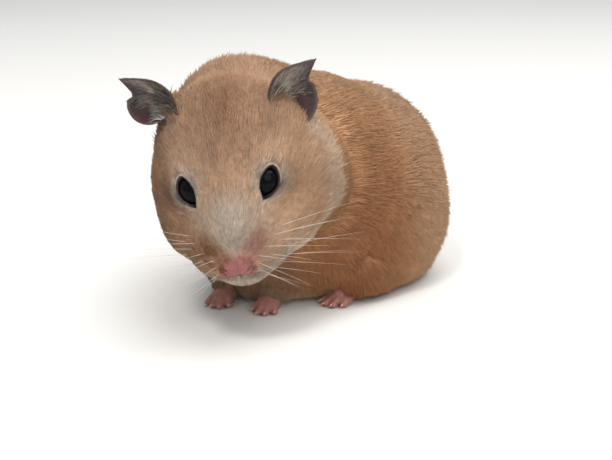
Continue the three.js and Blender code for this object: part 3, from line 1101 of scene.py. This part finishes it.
def regions(roots):
    """The coat that each root belongs to, by number in COATS."""
    points = roots.points
    head, neck, _trunk, _thigh, foreleg = shares_of(masses(points))
    q = HEAD.inside(points)
    x, y, z = points.T
    chosen = np.full(len(points), COATS.index("chest"))
    behind = y > 4
    left = x > 0
    for name, where in (
            ("back_left", left & ~behind), ("back_right", ~left & ~behind),
            ("rump_left", left & behind), ("rump_right", ~left & behind),
            ("haunch_left", left & behind & (z < 24)), ("haunch_right", ~left & behind & (z < 24)),
            ("chest", (y < -17) & (z < 32) & (neck < 0.5)), ("nape", neck >= 0.5),
            ("crown", (head >= 0.5) & (q[:, 1] > 8)),
            ("forehead", (head >= 0.5) & (q[:, 1] <= 8)),
            ("cheek_left", (head >= 0.5) & (q[:, 2] < 0) & (q[:, 0] > 0)),
            ("cheek_right", (head >= 0.5) & (q[:, 2] < 0) & (q[:, 0] <= 0)),
            ("muzzle", (head >= 0.5) & (q[:, 1] < -5)),
            ("legs", foreleg >= 0.5)):
        chosen[where] = COATS.index(name)
    outside = flesh(points) > 0.4
    chosen[outside & (z < 12)] = COATS.index("legs")
    on_ear = outside & (q[:, 2] > 1) & (z > 30)
    chosen[on_ear & (body(points) > 0.15)] = COATS.index("ears")
    return chosen


def over_an_eye(q, margin):
    """Whether points lie between the lids, or less than a margin from their edges."""
    over = np.zeros(len(q), bool)
    for s in SIDES.values():
        gap, reach, facing = lid_gap(q, s)
        over |= (reach < EYE_RADIUS + 0.3) | ((gap < margin) & (facing > 0) & (reach < EYE_RADIUS + 3))
    return over


def coat_density(points, normals):
    """Tufts on a square millimetre: closest on the face, thinnest under the belly."""
    fields = masses(points)
    head = shares_of(fields)[0]
    q = HEAD.inside(points)
    dense = BODY_TUFTS + head * (12.0 + 16 * step(2, -8, q[:, 1]))
    dense = dense * (0.25 + 0.75 * step(-0.95, -0.5, normals[:, 2]) * step(1.0, 3.5, points[:, 2]))
    dense = dense * (1 - head * step(1.3, 0.85, nose_reach(q)) * step(-11, -12.2, q[:, 1]))
    dense = dense * (1 - 0.9 * head * bell(mouth_height(q), 0.35) * step(-9, -11, q[:, 1]))
    dense = np.where(over_an_eye(q, 0.3), 0, dense)
    outside = flesh(points) > 0.4
    low = outside & (points[:, 2] < 12)
    dense = np.where(low, FOOT_TUFTS * (normals[:, 2] > -0.2), dense)
    for on_ear in ear_share(points).values():
        dense = np.where(on_ear & (body(points) > 0.15), EAR_TUFTS, dense)
    return dense


def grow_coats(skin, thickness, length_scale, seed):
    """Sows, combs and builds the coat, one mesh for each region."""
    rng = np.random.default_rng(seed)
    roots = sown(skin, lambda p, n: thickness * coat_density(p, n), rng)
    region = regions(roots)
    made = []
    for number, name in enumerate(COATS):
        some = np.flatnonzero(region == number)
        if len(some) < 20:
            continue
        grow = ear_coat if name == "ears" else body_coat
        made.append(grow("coat_" + name, roots.pick(some), length_scale, rng))
    return made


def tuft_depths(points, fields, room):
    """The depth of coat that each tuft fills, less on the feet and at the roots of the ears."""
    q = HEAD.inside(points)
    depth = np.clip(np.minimum(coat_depth(points, fields), room + 0.4), 0.5, None)
    depth = np.where((flesh(points) > 0.4) & (points[:, 2] < 12), FOOT_HAIR, depth)
    return np.where((room < 0.8) & (q[:, 1] > 6) & (q[:, 2] > 0), EAR_ROOT_HAIR, depth)


def body_coat(name, roots, length_scale, rng):
    """The tufts of one region: combed, clumped a little, and pressed to the outline of the coat."""
    count = len(roots.points)
    points = roots.points
    fields = masses(points)
    head = shares_of(fields)[0]
    room = -outline(fields)
    depth = tuft_depths(points, fields, room)
    way = flow(points, roots.normals)
    guides, own = clumped(roots, 16, rng)
    turn = (14 - 6 * head) * MOTTLE(points, 8.0) + (8 - 4 * head) * own + rng.normal(0, 7, count)
    way = spun(way, roots.normals, turn)
    rise = depth * length_scale * rng.uniform(0.7, 1.04, count) * (1 + 0.06 * own)
    flat = step(2.6, 0.8, depth)
    first = 42 - 18 * flat + rng.normal(0, 4, count)
    last = 22 - 14 * flat + rng.normal(0, 3, count)
    length = rise / np.sin(np.radians((first + last) / 2))
    width = 0.038 + 0.02 * np.sqrt(depth) + 0.006 * depth
    stray = rng.random(count) < 0.15
    width = width * rng.uniform(0.75, 1.2, count) * np.where(stray, 0.55, 1)
    pull = (guides - points) * (0.1 + 0.25 * rng.random(count))[:, None]
    reach = np.linalg.norm(pull, axis=1)
    pull = pull * np.minimum(1, 0.35 * length / np.maximum(reach, 1e-6))[:, None]
    pull = pull - roots.normals * dot(pull, roots.normals)
    root, middle, tip = bent(roots, way, length, first, last)
    # strays may pass the outline a little, and tufts that already start near it are left as they are
    free = np.where(room < 0.4 * depth, 99, 0)
    spare = depth * np.where(stray, rng.uniform(-0.1, 0.25, count), -rng.uniform(0.08, 0.5, count))
    middle = laid(middle + pull * 0.3, roots.normals, np.where(free, free, spare - 0.3 * depth))
    tip = laid(tip + pull, roots.normals, np.where(free, free, spare))
    colours, _moist = markings(points + way * (0.35 * length)[:, None], points)
    tint = 1 + (0.045 + 0.04 * head) * own + rng.normal(0, 1, count) * (0.045 + 0.035 * head)
    tint = tint + (0.11 + 0.07 * head) * strands(points, head)
    colours = np.clip(colours * tint[:, None], 0, 1)
    if head.mean() > 0.5:
        centre = HEAD.outside((0, 6, -4))
    else:
        centre = np.array([0, points[:, 1].mean() * 0.4, 22.0])
    clear = ~over_an_eye(HEAD.inside(tip), 0.1) & ~over_an_eye(HEAD.inside(middle), 0.2)
    path = (root[clear], middle[clear], tip[clear])
    return tuft_mesh(name, roots.pick(clear), path, width[clear], colours[clear], FUR_SHADES, centre)


def ear_down(roots, length_scale, rng):
    """Short close hair on the backs of the ears, combed towards their rims."""
    count = len(roots.points)
    way, inward = np.zeros((count, 3)), np.zeros(count)
    for name, side in SIDES.items():
        own = ear_frame(name)
        local = own.inside(roots.points)
        here = np.linalg.norm(local, axis=1) < 16
        way[here] = own.way(unit(local - (-9.0 * side, 1.5, -7.0)))[here]
        inward[here] = -(local @ (0.83 * side, 0.0, 0.55))[here]
    way = spun(unit(way - roots.normals * dot(way, roots.normals)), roots.normals, rng.normal(0, 10, count))
    length = length_scale * rng.uniform(0.6, 1.1, count)
    path = bent(roots, way, length, np.full(count, 12.0), np.full(count, 3.0), 0.03)
    colours = linear(srgb(SLATE) + (srgb(SAND) - srgb(SLATE)) * step(2.5, 6.0, inward)[:, None])
    return roots, path, rng.uniform(0.03, 0.05, count), colours * rng.uniform(0.8, 1.15, count)[:, None]


def ear_stream(name, count, length_scale, rng):
    """Silvery hairs that stream over the hollow of an ear from its inner edge, close to the leaf."""
    own, side, stream = ear_frame(name), SIDES[name], EARS[name]["stream"]

    def on_leaf(flat, lift):
        angle = np.degrees(np.arctan2(flat[:, 1], flat[:, 0]))
        out = np.hypot(*flat.T) / ear_rim(name, angle)
        return own.outside(ear_leaf(name, angle, np.minimum(out, 0.99), lift)), out

    start = rng.uniform((-7.5, -7), (6.5, 8.5), (count, 2))
    x, z = start.T
    heading = np.minimum(stream - 6 * (x + 2.5) + 2 * z + 8 * np.maximum(z - 1, 0), stream + 25)
    heading = np.radians(heading + rng.normal(0, 7, count))
    length = (2.0 + 2.9 * step(3.5, -1.5, x)) * rng.uniform(0.65, 1.1, count) * length_scale
    ahead = np.stack([np.cos(heading), np.sin(heading)], 1) * length[:, None]
    root, out = on_leaf(start, 0.1)
    middle, half_out = on_leaf(start + 0.45 * ahead, -0.16)
    tip, end_out = on_leaf(start + ahead, -0.14)
    across, _out = on_leaf(start + (0.1, 0), 0.1)
    above, _out = on_leaf(start + (0, 0.1), 0.1)
    normals = unit(unit(np.cross(across - root, above - root)) * side + own.way((0, -1.0, 0.8)))
    likely = np.maximum(step(3.8, -1.0, x + 0.35 * z), 0.45 * step(1.5, 3.5, z))
    kept = (rng.random(count) < likely) & (out < 0.97) & (half_out < 0.96) & (end_out < 0.98)
    grey = np.maximum(rng.random(count), 0.62 * step(0, 7, x + z))
    colours = linear(srgb(SILVER) + (srgb(SLATE) - srgb(SILVER)) * (grey ** 1.5)[:, None])
    path = tuple(at[kept] for at in (root, middle, tip))
    return Roots(root, normals).pick(kept), path, rng.uniform(0.03, 0.055, count)[kept], colours[kept]


def ear_coat(name, roots, length_scale, rng):
    """The hair of both ears: close on their backs, long and silvery in their hollows."""
    backs = np.zeros(len(roots.points), bool)
    for own in map(ear_frame, SIDES):
        near = np.linalg.norm(own.inside(roots.points), axis=1) < 16
        backs |= near & (roots.normals @ own.turn[:, 1] > 0.2)
    parts = [ear_down(roots.pick(backs), length_scale, rng)]
    parts += [ear_stream(ear, STREAM_HAIRS, length_scale, rng) for ear in SIDES]
    whole = Roots(np.concatenate([part[0].points for part in parts]),
                  np.concatenate([part[0].normals for part in parts]))
    path = tuple(np.concatenate([part[1][k] for part in parts]) for k in range(3))
    width, colours = (np.concatenate([part[k] for part in parts]) for k in (2, 3))
    return tuft_mesh(name, whole, path, width, colours, EAR_SHADES, HEAD.outside((0, 6, 0)))


# ---- Eyes, claws and whiskers ----


def eye_mesh(name, side):
    """An eyeball with a slightly raised cornea."""
    bm = bmesh.new()
    bmesh.ops.create_uvsphere(bm, u_segments=72, v_segments=48, radius=1)
    mesh = bpy.data.meshes.new(name)
    bm.to_mesh(mesh)
    bm.free()
    gaze = eye_axes(side)[0]
    points = places(mesh) * MM
    rise = 1 + 0.02 * step(0.55, 0.9, points @ gaze)
    place(mesh, HEAD.outside(eye_at(side) + points * (EYE_RADIUS - 0.02) * rise[:, None]))
    return smoothed(mesh)


def tube(path, radii, around=8):
    """A closed tube along a path, as points and faces; a radius of 0 at the end makes a tip."""
    path = np.asarray(path, float)
    along = unit(np.gradient(path, axis=0))
    side = unit(np.cross(along, np.where(np.abs(along[:, 2:]) > 0.9, (1.0, 0, 0), (0, 0, 1.0))))
    over = np.cross(side, along)
    angle = np.arange(around) * 2 * math.pi / around
    rings = [at + r * (s * np.cos(angle)[:, None] + o * np.sin(angle)[:, None])
             for at, r, s, o in zip(path[:-1], radii, side, over)]
    points = np.concatenate(rings + [path[:1], path[-1:]])
    here = np.arange(around)
    then = (here + 1) % around
    root, tip = len(points) - 2, len(points) - 1
    faces = [np.stack([then, here, np.full(around, root)], 1)]
    for ring in range(len(rings) - 1):
        a, b = ring * around, (ring + 1) * around
        faces.append(np.stack([a + here, a + then, b + then], 1))
        faces.append(np.stack([a + here, b + then, b + here], 1))
    last = (len(rings) - 1) * around
    faces.append(np.stack([last + here, last + then, np.full(around, tip)], 1))
    faces = np.concatenate(faces)
    if np.linalg.det([side[0], over[0], along[0]]) < 0:
        faces = faces[:, ::-1]
    return points, faces


def joined_mesh(name, shapes):
    """One mesh from many pairs of points and faces."""
    points, faces, base = [], [], 0
    for some_points, some_faces in shapes:
        points.append(some_points)
        faces.append(some_faces + base)
        base += len(some_points)
    return make_mesh(name, np.concatenate(points), np.concatenate(faces))


def claw_shapes():
    """A curved claw at the end of every toe."""
    for s in SIDES.values():
        for own, layout, long in ((forepaw_frame(s), FOREPAW, CLAW_LENGTH * 0.8),
                                  (hindfoot_frame(s), HINDFOOT, CLAW_LENGTH)):
            for _start, end, way in toe_lines(**layout):
                t = np.linspace(0, 1, 7)[:, None]
                path = end + way * (0.15 + t * long) + (0, 0, 0.22) - t ** 2 * (0, 0, 0.55)
                path[:, 2] = np.maximum(path[:, 2], 0.12)
                yield tube(own.outside(path), 0.27 * (1 - t[:, 0] ** 1.5))


def whisker_paths(seed):
    """Roots in rows on the whisker beds, each with the curve that its whisker follows."""
    rng = np.random.default_rng(seed)
    for s in SIDES.values():
        for row in range(4):
            for k in range(4):
                root = np.array([s * (4.4 + 1.1 * k), -13.2 + 2.0 * k, -7.2 - 1.7 * row])
                out = np.array([s * (0.95 + 0.1 * k), -0.2 + 0.25 * k, -0.08 - 0.2 * row])
                out = unit(out + rng.normal(0, 0.08, 3))
                yield root, out, (12 + 3.0 * k) * rng.uniform(0.75, 1.1), 0.042
        for k in range(2):
            root = np.array([s * (4.5 + 2 * k), 1.0 + 2 * k, 7.0])
            yield root, unit(np.array([s * 0.3, 0.3, 0.9])), 6.0, 0.03


def whisker_lines(seed, droop):
    """Edges along each whisker's curve, with a radius for every point."""
    points, edges, radii = [], [], []
    for root, out, length, radius in whisker_paths(seed):
        at = HEAD.outside(root)[None]
        for _ in range(8):
            g = slope(body, at)
            at = at - body(at)[:, None] * g / np.maximum(dot(g, g), 0.1)
        t = np.linspace(0, 1, 14)[:, None]
        down = np.array([0, 0, -1.0]) * droop
        back = HEAD.way((0, 0.30, 0.0))
        curve = at + HEAD.way(out) * (t * length - 0.4) + (down + back) * length * t ** 2 * 0.4
        base = len(points)
        points += list(curve)
        edges += [(base + i, base + i + 1) for i in range(len(t) - 1)]
        radii += list(radius * (1 - 0.88 * t[:, 0]))
    return np.array(points), edges, np.array(radii)


# ---- Materials ----


def node(tree, kind, inputs=None, **settings):
    """Adds a node, with its settings, and fills or links its inputs."""
    made = tree.nodes.new(kind)
    for key, value in settings.items():
        setattr(made, key, value)
    for key, value in (inputs or {}).items():
        if isinstance(value, bpy.types.NodeSocket):
            tree.links.new(value, made.inputs[key])
        else:
            made.inputs[key].default_value = value
    return made


def shader(name, **constants):
    """A new material, with its node tree and its Principled shader."""
    material = bpy.data.materials.new(name)
    material.use_nodes = True
    tree = material.node_tree
    principled = tree.nodes["Principled BSDF"]
    for key, value in constants.items():
        principled.inputs[key.replace("_", " ")].default_value = value
    return material, tree, principled


def varied(tree, colour, pitch, amount):
    """A colour made lighter and darker by noise whose features are pitch millimetres across."""
    where = node(tree, "ShaderNodeTexCoord").outputs["Object"]
    noise = node(tree, "ShaderNodeTexNoise", {"Vector": where, "Scale": 1 / (pitch * MM), "Detail": 3.0})
    level = node(tree, "ShaderNodeMapRange",
                 {"Value": noise.outputs["Fac"], "From Min": 0.25, "From Max": 0.75,
                  "To Min": 1 - amount, "To Max": 1 + amount}).outputs[0]
    grey = node(tree, "ShaderNodeCombineColor", {"Red": level, "Green": level, "Blue": level})
    mixed = node(tree, "ShaderNodeMix", {6: colour, 7: grey.outputs[0], 0: 1.0}, data_type="RGBA",
                 blend_type="MULTIPLY")
    return mixed.outputs[2]


def coat_material():
    # golden hamster fur: soft, matt, with a faint warm bloom at its edges
    material, tree, principled = shader("hamster_fur", Roughness=0.8, Sheen_Weight=0.15, Sheen_Roughness=0.5)
    principled.inputs["Specular IOR Level"].default_value = 0.1
    principled.inputs["Sheen Tint"].default_value = socket_colour("#E3B98C")
    marks = node(tree, "ShaderNodeAttribute", attribute_name="markings")
    tree.links.new(varied(tree, marks.outputs["Color"], 1.1, 0.12), principled.inputs["Base Color"])
    return material


def skin_material():
    # rodent skin: dry and finely pored, moist on the nose and the lids
    material, tree, principled = shader("hamster_skin", Subsurface_Weight=0.1, Subsurface_Scale=0.0008)
    principled.inputs["Specular IOR Level"].default_value = 0.4
    marks = node(tree, "ShaderNodeAttribute", attribute_name="markings")
    tree.links.new(varied(tree, marks.outputs["Color"], 0.7, 0.1), principled.inputs["Base Color"])
    rough = node(tree, "ShaderNodeMapRange", {"Value": marks.outputs["Alpha"], "To Min": 0.62, "To Max": 0.3})
    tree.links.new(rough.outputs[0], principled.inputs["Roughness"])
    where = node(tree, "ShaderNodeTexCoord").outputs["Object"]
    pores = node(tree, "ShaderNodeTexVoronoi", {"Vector": where, "Scale": 1 / (0.28 * MM)})
    bump = node(tree, "ShaderNodeBump", {"Height": pores.outputs["Distance"], "Strength": 0.5,
                                         "Distance": 0.05 * MM})
    tree.links.new(bump.outputs[0], principled.inputs["Normal"])
    return material


def eye_material(colour):
    # a rodent's eye: almost black brown, wet
    material, tree, principled = shader("hamster_eye", Roughness=0.05, IOR=1.36, Specular_IOR_Level=0.22,
                                        Specular_Tint=socket_colour("#BFD3E3"))
    dark = node(tree, "ShaderNodeRGB")
    dark.outputs[0].default_value = colour
    tree.links.new(varied(tree, dark.outputs[0], 0.8, 0.3), principled.inputs["Base Color"])
    return material


def claw_material(colour):
    # claw horn: pale, slightly see-through, smooth
    material, tree, principled = shader("claw_horn", Roughness=0.35, Subsurface_Weight=0.2,
                                        Subsurface_Scale=0.0005)
    pale = node(tree, "ShaderNodeRGB")
    pale.outputs[0].default_value = colour
    tree.links.new(varied(tree, pale.outputs[0], 0.5, 0.12), principled.inputs["Base Color"])
    return material


def whisker_material(colour):
    # whisker hair: stiff, pale and a little shiny
    material, tree, principled = shader("whisker_hair", Roughness=0.4)
    pale = node(tree, "ShaderNodeRGB")
    pale.outputs[0].default_value = colour
    tree.links.new(varied(tree, pale.outputs[0], 2.0, 0.1), principled.inputs["Base Color"])
    return material


def floor_material(colour):
    # white card: uncoated, smooth and matt
    material, _tree, principled = shader("pale_card", Roughness=0.85)
    principled.inputs["Base Color"].default_value = colour
    return material


# ---- Whiskers by Geometry Nodes ----


def whisker_group(material):
    """Edges become curves, each swept into a closed tube as thick as its points say."""
    group = bpy.data.node_groups.new("whiskers", "GeometryNodeTree")
    group.is_modifier = True
    group.interface.new_socket("Geometry", in_out="INPUT", socket_type="NodeSocketGeometry")
    sides = group.interface.new_socket("Sides", in_out="INPUT", socket_type="NodeSocketInt")
    sides.default_value, sides.min_value = 6, 3
    group.interface.new_socket("Geometry", in_out="OUTPUT", socket_type="NodeSocketGeometry")
    start = node(group, "NodeGroupInput")
    lines = node(group, "GeometryNodeMeshToCurve", {"Mesh": start.outputs["Geometry"]})
    thick = node(group, "GeometryNodeInputNamedAttribute", {"Name": "thickness"}, data_type="FLOAT")
    sized = node(group, "GeometryNodeSetCurveRadius", {"Curve": lines.outputs["Curve"],
                                                       "Radius": thick.outputs["Attribute"]})
    ring = node(group, "GeometryNodeCurvePrimitiveCircle",
                {"Resolution": start.outputs["Sides"], "Radius": 1.0})
    swept = node(group, "GeometryNodeCurveToMesh",
                 {"Curve": sized.outputs["Curve"], "Profile Curve": ring.outputs["Curve"],
                  "Scale": thick.outputs["Attribute"], "Fill Caps": True})
    real = node(group, "GeometryNodeRealizeInstances", {"Geometry": swept.outputs["Mesh"]})
    dressed = node(group, "GeometryNodeSetMaterial",
                   {"Geometry": real.outputs["Geometry"], "Material": material})
    node(group, "NodeGroupOutput", {"Geometry": dressed.outputs["Geometry"]})
    return group, sides.identifier


def whisker_mesh(seed, droop, sides, material):
    """All the whiskers as one plain mesh."""
    points, edges, radii = whisker_lines(seed, droop)
    mesh = bpy.data.meshes.new("whiskers")
    mesh.from_pydata([tuple(p) for p in points * MM], edges, [])
    thickness = mesh.attributes.new("thickness", "FLOAT", "POINT")
    thickness.data.foreach_set("value", (radii * MM).astype(np.float32))
    carrier = add_object("whisker_lines", mesh)
    group, sides_input = whisker_group(material)
    grown = carrier.modifiers.new("grown", "NODES")
    grown.node_group = group
    grown[sides_input] = sides
    graph = bpy.context.evaluated_depsgraph_get()
    made = bpy.data.meshes.new_from_object(carrier.evaluated_get(graph))
    bpy.data.objects.remove(carrier)
    return smoothed(made)


# ---- Stage: metres, watts and degrees ----

FLOOR_HALF = 3.0
LAMPS = (("key", (0.12, -0.42, 0.75), 0.2, 2.6),
         ("fill", (0.6, -0.2, 0.5), 0.6, 1.6),
         ("top", (0.15, 0.2, 0.9), 0.9, 7.0))      # place, width across and power
LIT_SPOT = (0.0, -0.01, 0.03)
ROOM_LIGHT, ROOM_STRENGTH = "#EEF3F8", 0.62
CAMERA_AT, CAMERA_TURN = (0.17748, -0.1789, 0.09429), (72, 0, 45)
CAMERA_LENS = 60.2                                 # millimetres


# ---- Settings and operators ----


class HamsterSettings(bpy.types.PropertyGroup):
    pitch: bpy.props.FloatProperty(
        name="Skin pitch", description="Spacing of the skin's points on the face", default=0.00042,
        min=0.0002, unit="LENGTH", subtype="DISTANCE")
    thickness: bpy.props.FloatProperty(
        name="Coat thickness", description="How closely the tufts grow, as a share of the full coat",
        default=1.0, min=0.02, max=1.2, subtype="FACTOR")
    length: bpy.props.FloatProperty(
        name="Coat length", description="Length of the tufts, as a share of the full coat",
        default=1.0, min=0.2, max=1.3, subtype="FACTOR")
    droop: bpy.props.FloatProperty(
        name="Whisker droop", description="How far the whiskers hang at their tips", default=0.35, min=0.0)
    whisker_sides: bpy.props.IntProperty(
        name="Whisker sides", description="Sides of each whisker's round section", default=6, min=3)
    seed: bpy.props.IntProperty(name="Seed", description="Start of the random numbers", default=7)


class HamsterColours(bpy.types.PropertyGroup):
    eye: bpy.props.FloatVectorProperty(
        name="Eyes", description="Colour of the eyeballs", default=socket_colour("#0B0909"),
        size=4, min=0, max=1, subtype="COLOR")
    claw: bpy.props.FloatVectorProperty(
        name="Claws", description="Colour of the claws", default=socket_colour("#D2B7A6"),
        size=4, min=0, max=1, subtype="COLOR")
    whisker: bpy.props.FloatVectorProperty(
        name="Whiskers", description="Colour of the whiskers", default=socket_colour("#D6CBBD"),
        size=4, min=0, max=1, subtype="COLOR")
    floor: bpy.props.FloatVectorProperty(
        name="Floor", description="Colour of the card that the hamster stands on",
        default=socket_colour("#E4E1DC"), size=4, min=0, max=1, subtype="COLOR")


def settled_piece(name, mesh, material, slot, *stands_for):
    """Adds a finished piece, which rides with the body and may stand for solids."""
    piece = add_object(name, mesh)
    if not len(mesh.materials):
        mesh.materials.append(material)
    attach(piece, "root")
    if stands_for:
        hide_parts(*stands_for)
    return piece


class HAMSTER_OT_skin(bpy.types.Operator):
    """Build the skin, with its lids, nose, ears and toes"""
    bl_idname = "hamster.skin"
    bl_label = "Skin"

    def execute(self, context):
        settings = context.scene.hamster
        mesh = skin_mesh(settings.pitch / MM)
        mesh.name = "skin"
        mesh.materials.clear()
        paint(mesh, *markings(places(mesh)))
        settled_piece("skin", mesh, skin_material(), "bare_skin", *FLESH)
        return {"FINISHED"}


class HAMSTER_OT_eyes(bpy.types.Operator):
    """Build both eyeballs"""
    bl_idname = "hamster.eyes"
    bl_label = "Eyes"

    def execute(self, context):
        material = eye_material(context.scene.hamster_colours.eye)
        for name, side in SIDES.items():
            settled_piece("eyeball_" + name, eye_mesh("eyeball", side), material, "eye", "eye_" + name)
        return {"FINISHED"}


class HAMSTER_OT_claws(bpy.types.Operator):
    """Build the claws of all four feet"""
    bl_idname = "hamster.claws"
    bl_label = "Claws"

    def execute(self, context):
        material = claw_material(context.scene.hamster_colours.claw)
        settled_piece("claws", joined_mesh("claws", claw_shapes()), material, "claw")
        return {"FINISHED"}


class HAMSTER_OT_whiskers(bpy.types.Operator):
    """Grow the whiskers from their beds and above the eyes"""
    bl_idname = "hamster.whiskers"
    bl_label = "Whiskers"

    def execute(self, context):
        settings = context.scene.hamster
        material = whisker_material(context.scene.hamster_colours.whisker)
        mesh = whisker_mesh(settings.seed, settings.droop, settings.whisker_sides, material)
        settled_piece("whiskers", mesh, material, "whisker")
        return {"FINISHED"}


class HAMSTER_OT_coat(bpy.types.Operator):
    """Grow the coat over the skin, in one mesh for each region"""
    bl_idname = "hamster.coat"
    bl_label = "Coat"

    def execute(self, context):
        settings = context.scene.hamster
        skin = bpy.data.objects["skin"].data
        thickness = settings.thickness * 1.0
        material = coat_material()
        for mesh in grow_coats(skin, thickness, settings.length, settings.seed):
            settled_piece(mesh.name, mesh, material, "coat")
        return {"FINISHED"}


class HAMSTER_OT_stage(bpy.types.Operator):
    """Set the floor, the lights and the camera"""
    bl_idname = "hamster.stage"
    bl_label = "Stage"

    def execute(self, context):
        scene = context.scene
        floor = add_object("floor", bpy.data.meshes.new("floor"))
        corners = [(x * FLOOR_HALF, y * FLOOR_HALF, 0) for x, y in ((-1, -1), (1, -1), (1, 1), (-1, 1))]
        floor.data.from_pydata(corners, [], [(0, 1, 2, 3)])
        floor.data.materials.append(floor_material(scene.hamster_colours.floor))
        for name, at, size, watts in LAMPS:
            light = bpy.data.lights.new(name, "AREA")
            light.shape, light.size, light.energy = "DISK", size, watts
            lamp = bpy.data.objects.new(name, light)
            lamp.location = at
            ahead = Vector(LIT_SPOT) - lamp.location
            lamp.rotation_euler = ahead.to_track_quat("-Z", "Y").to_euler()
            scene.collection.objects.link(lamp)
        world = bpy.data.worlds.new("soft_room")
        world.use_nodes = True
        sky = world.node_tree.nodes["Background"]
        sky.inputs["Color"].default_value = socket_colour(ROOM_LIGHT)
        sky.inputs["Strength"].default_value = ROOM_STRENGTH
        scene.world = world
        scene.view_settings.view_transform = "Standard"
        lens = bpy.data.cameras.new("camera")
        lens.lens, lens.sensor_width, lens.clip_start = CAMERA_LENS, 36.0, 0.01
        camera = bpy.data.objects.new("camera", lens)
        camera.location = CAMERA_AT
        camera.rotation_euler = [math.radians(a) for a in CAMERA_TURN]
        scene.collection.objects.link(camera)
        scene.camera = camera
        return {"FINISHED"}


OPERATORS = (HAMSTER_OT_skin, HAMSTER_OT_eyes, HAMSTER_OT_claws, HAMSTER_OT_whiskers, HAMSTER_OT_coat,
             HAMSTER_OT_stage)


class HAMSTER_PT_panel(bpy.types.Panel):
    """The hamster's settings and the steps of its making"""
    bl_idname = "HAMSTER_PT_panel"
    bl_label = "Hamster"
    bl_space_type = "VIEW_3D"
    bl_region_type = "UI"
    bl_category = "Hamster"

    def draw(self, context):
        for name in HamsterSettings.__annotations__:
            self.layout.prop(context.scene.hamster, name)
        for name in HamsterColours.__annotations__:
            self.layout.prop(context.scene.hamster_colours, name)
        for operator in OPERATORS:
            self.layout.operator(operator.bl_idname)


CLASSES = (HamsterSettings, HamsterColours, *OPERATORS, HAMSTER_PT_panel)


def register():
    for one in CLASSES:
        bpy.utils.register_class(one)
    bpy.types.Scene.hamster = bpy.props.PointerProperty(type=HamsterSettings)
    bpy.types.Scene.hamster_colours = bpy.props.PointerProperty(type=HamsterColours)


def unregister():
    del bpy.types.Scene.hamster, bpy.types.Scene.hamster_colours
    for one in reversed(CLASSES):
        bpy.utils.unregister_class(one)


def main():
    register()
    for operator in OPERATORS:
        group, name = operator.bl_idname.split(".")
        getattr(getattr(bpy.ops, group), name)()


if __name__ == "__main__":
    main()
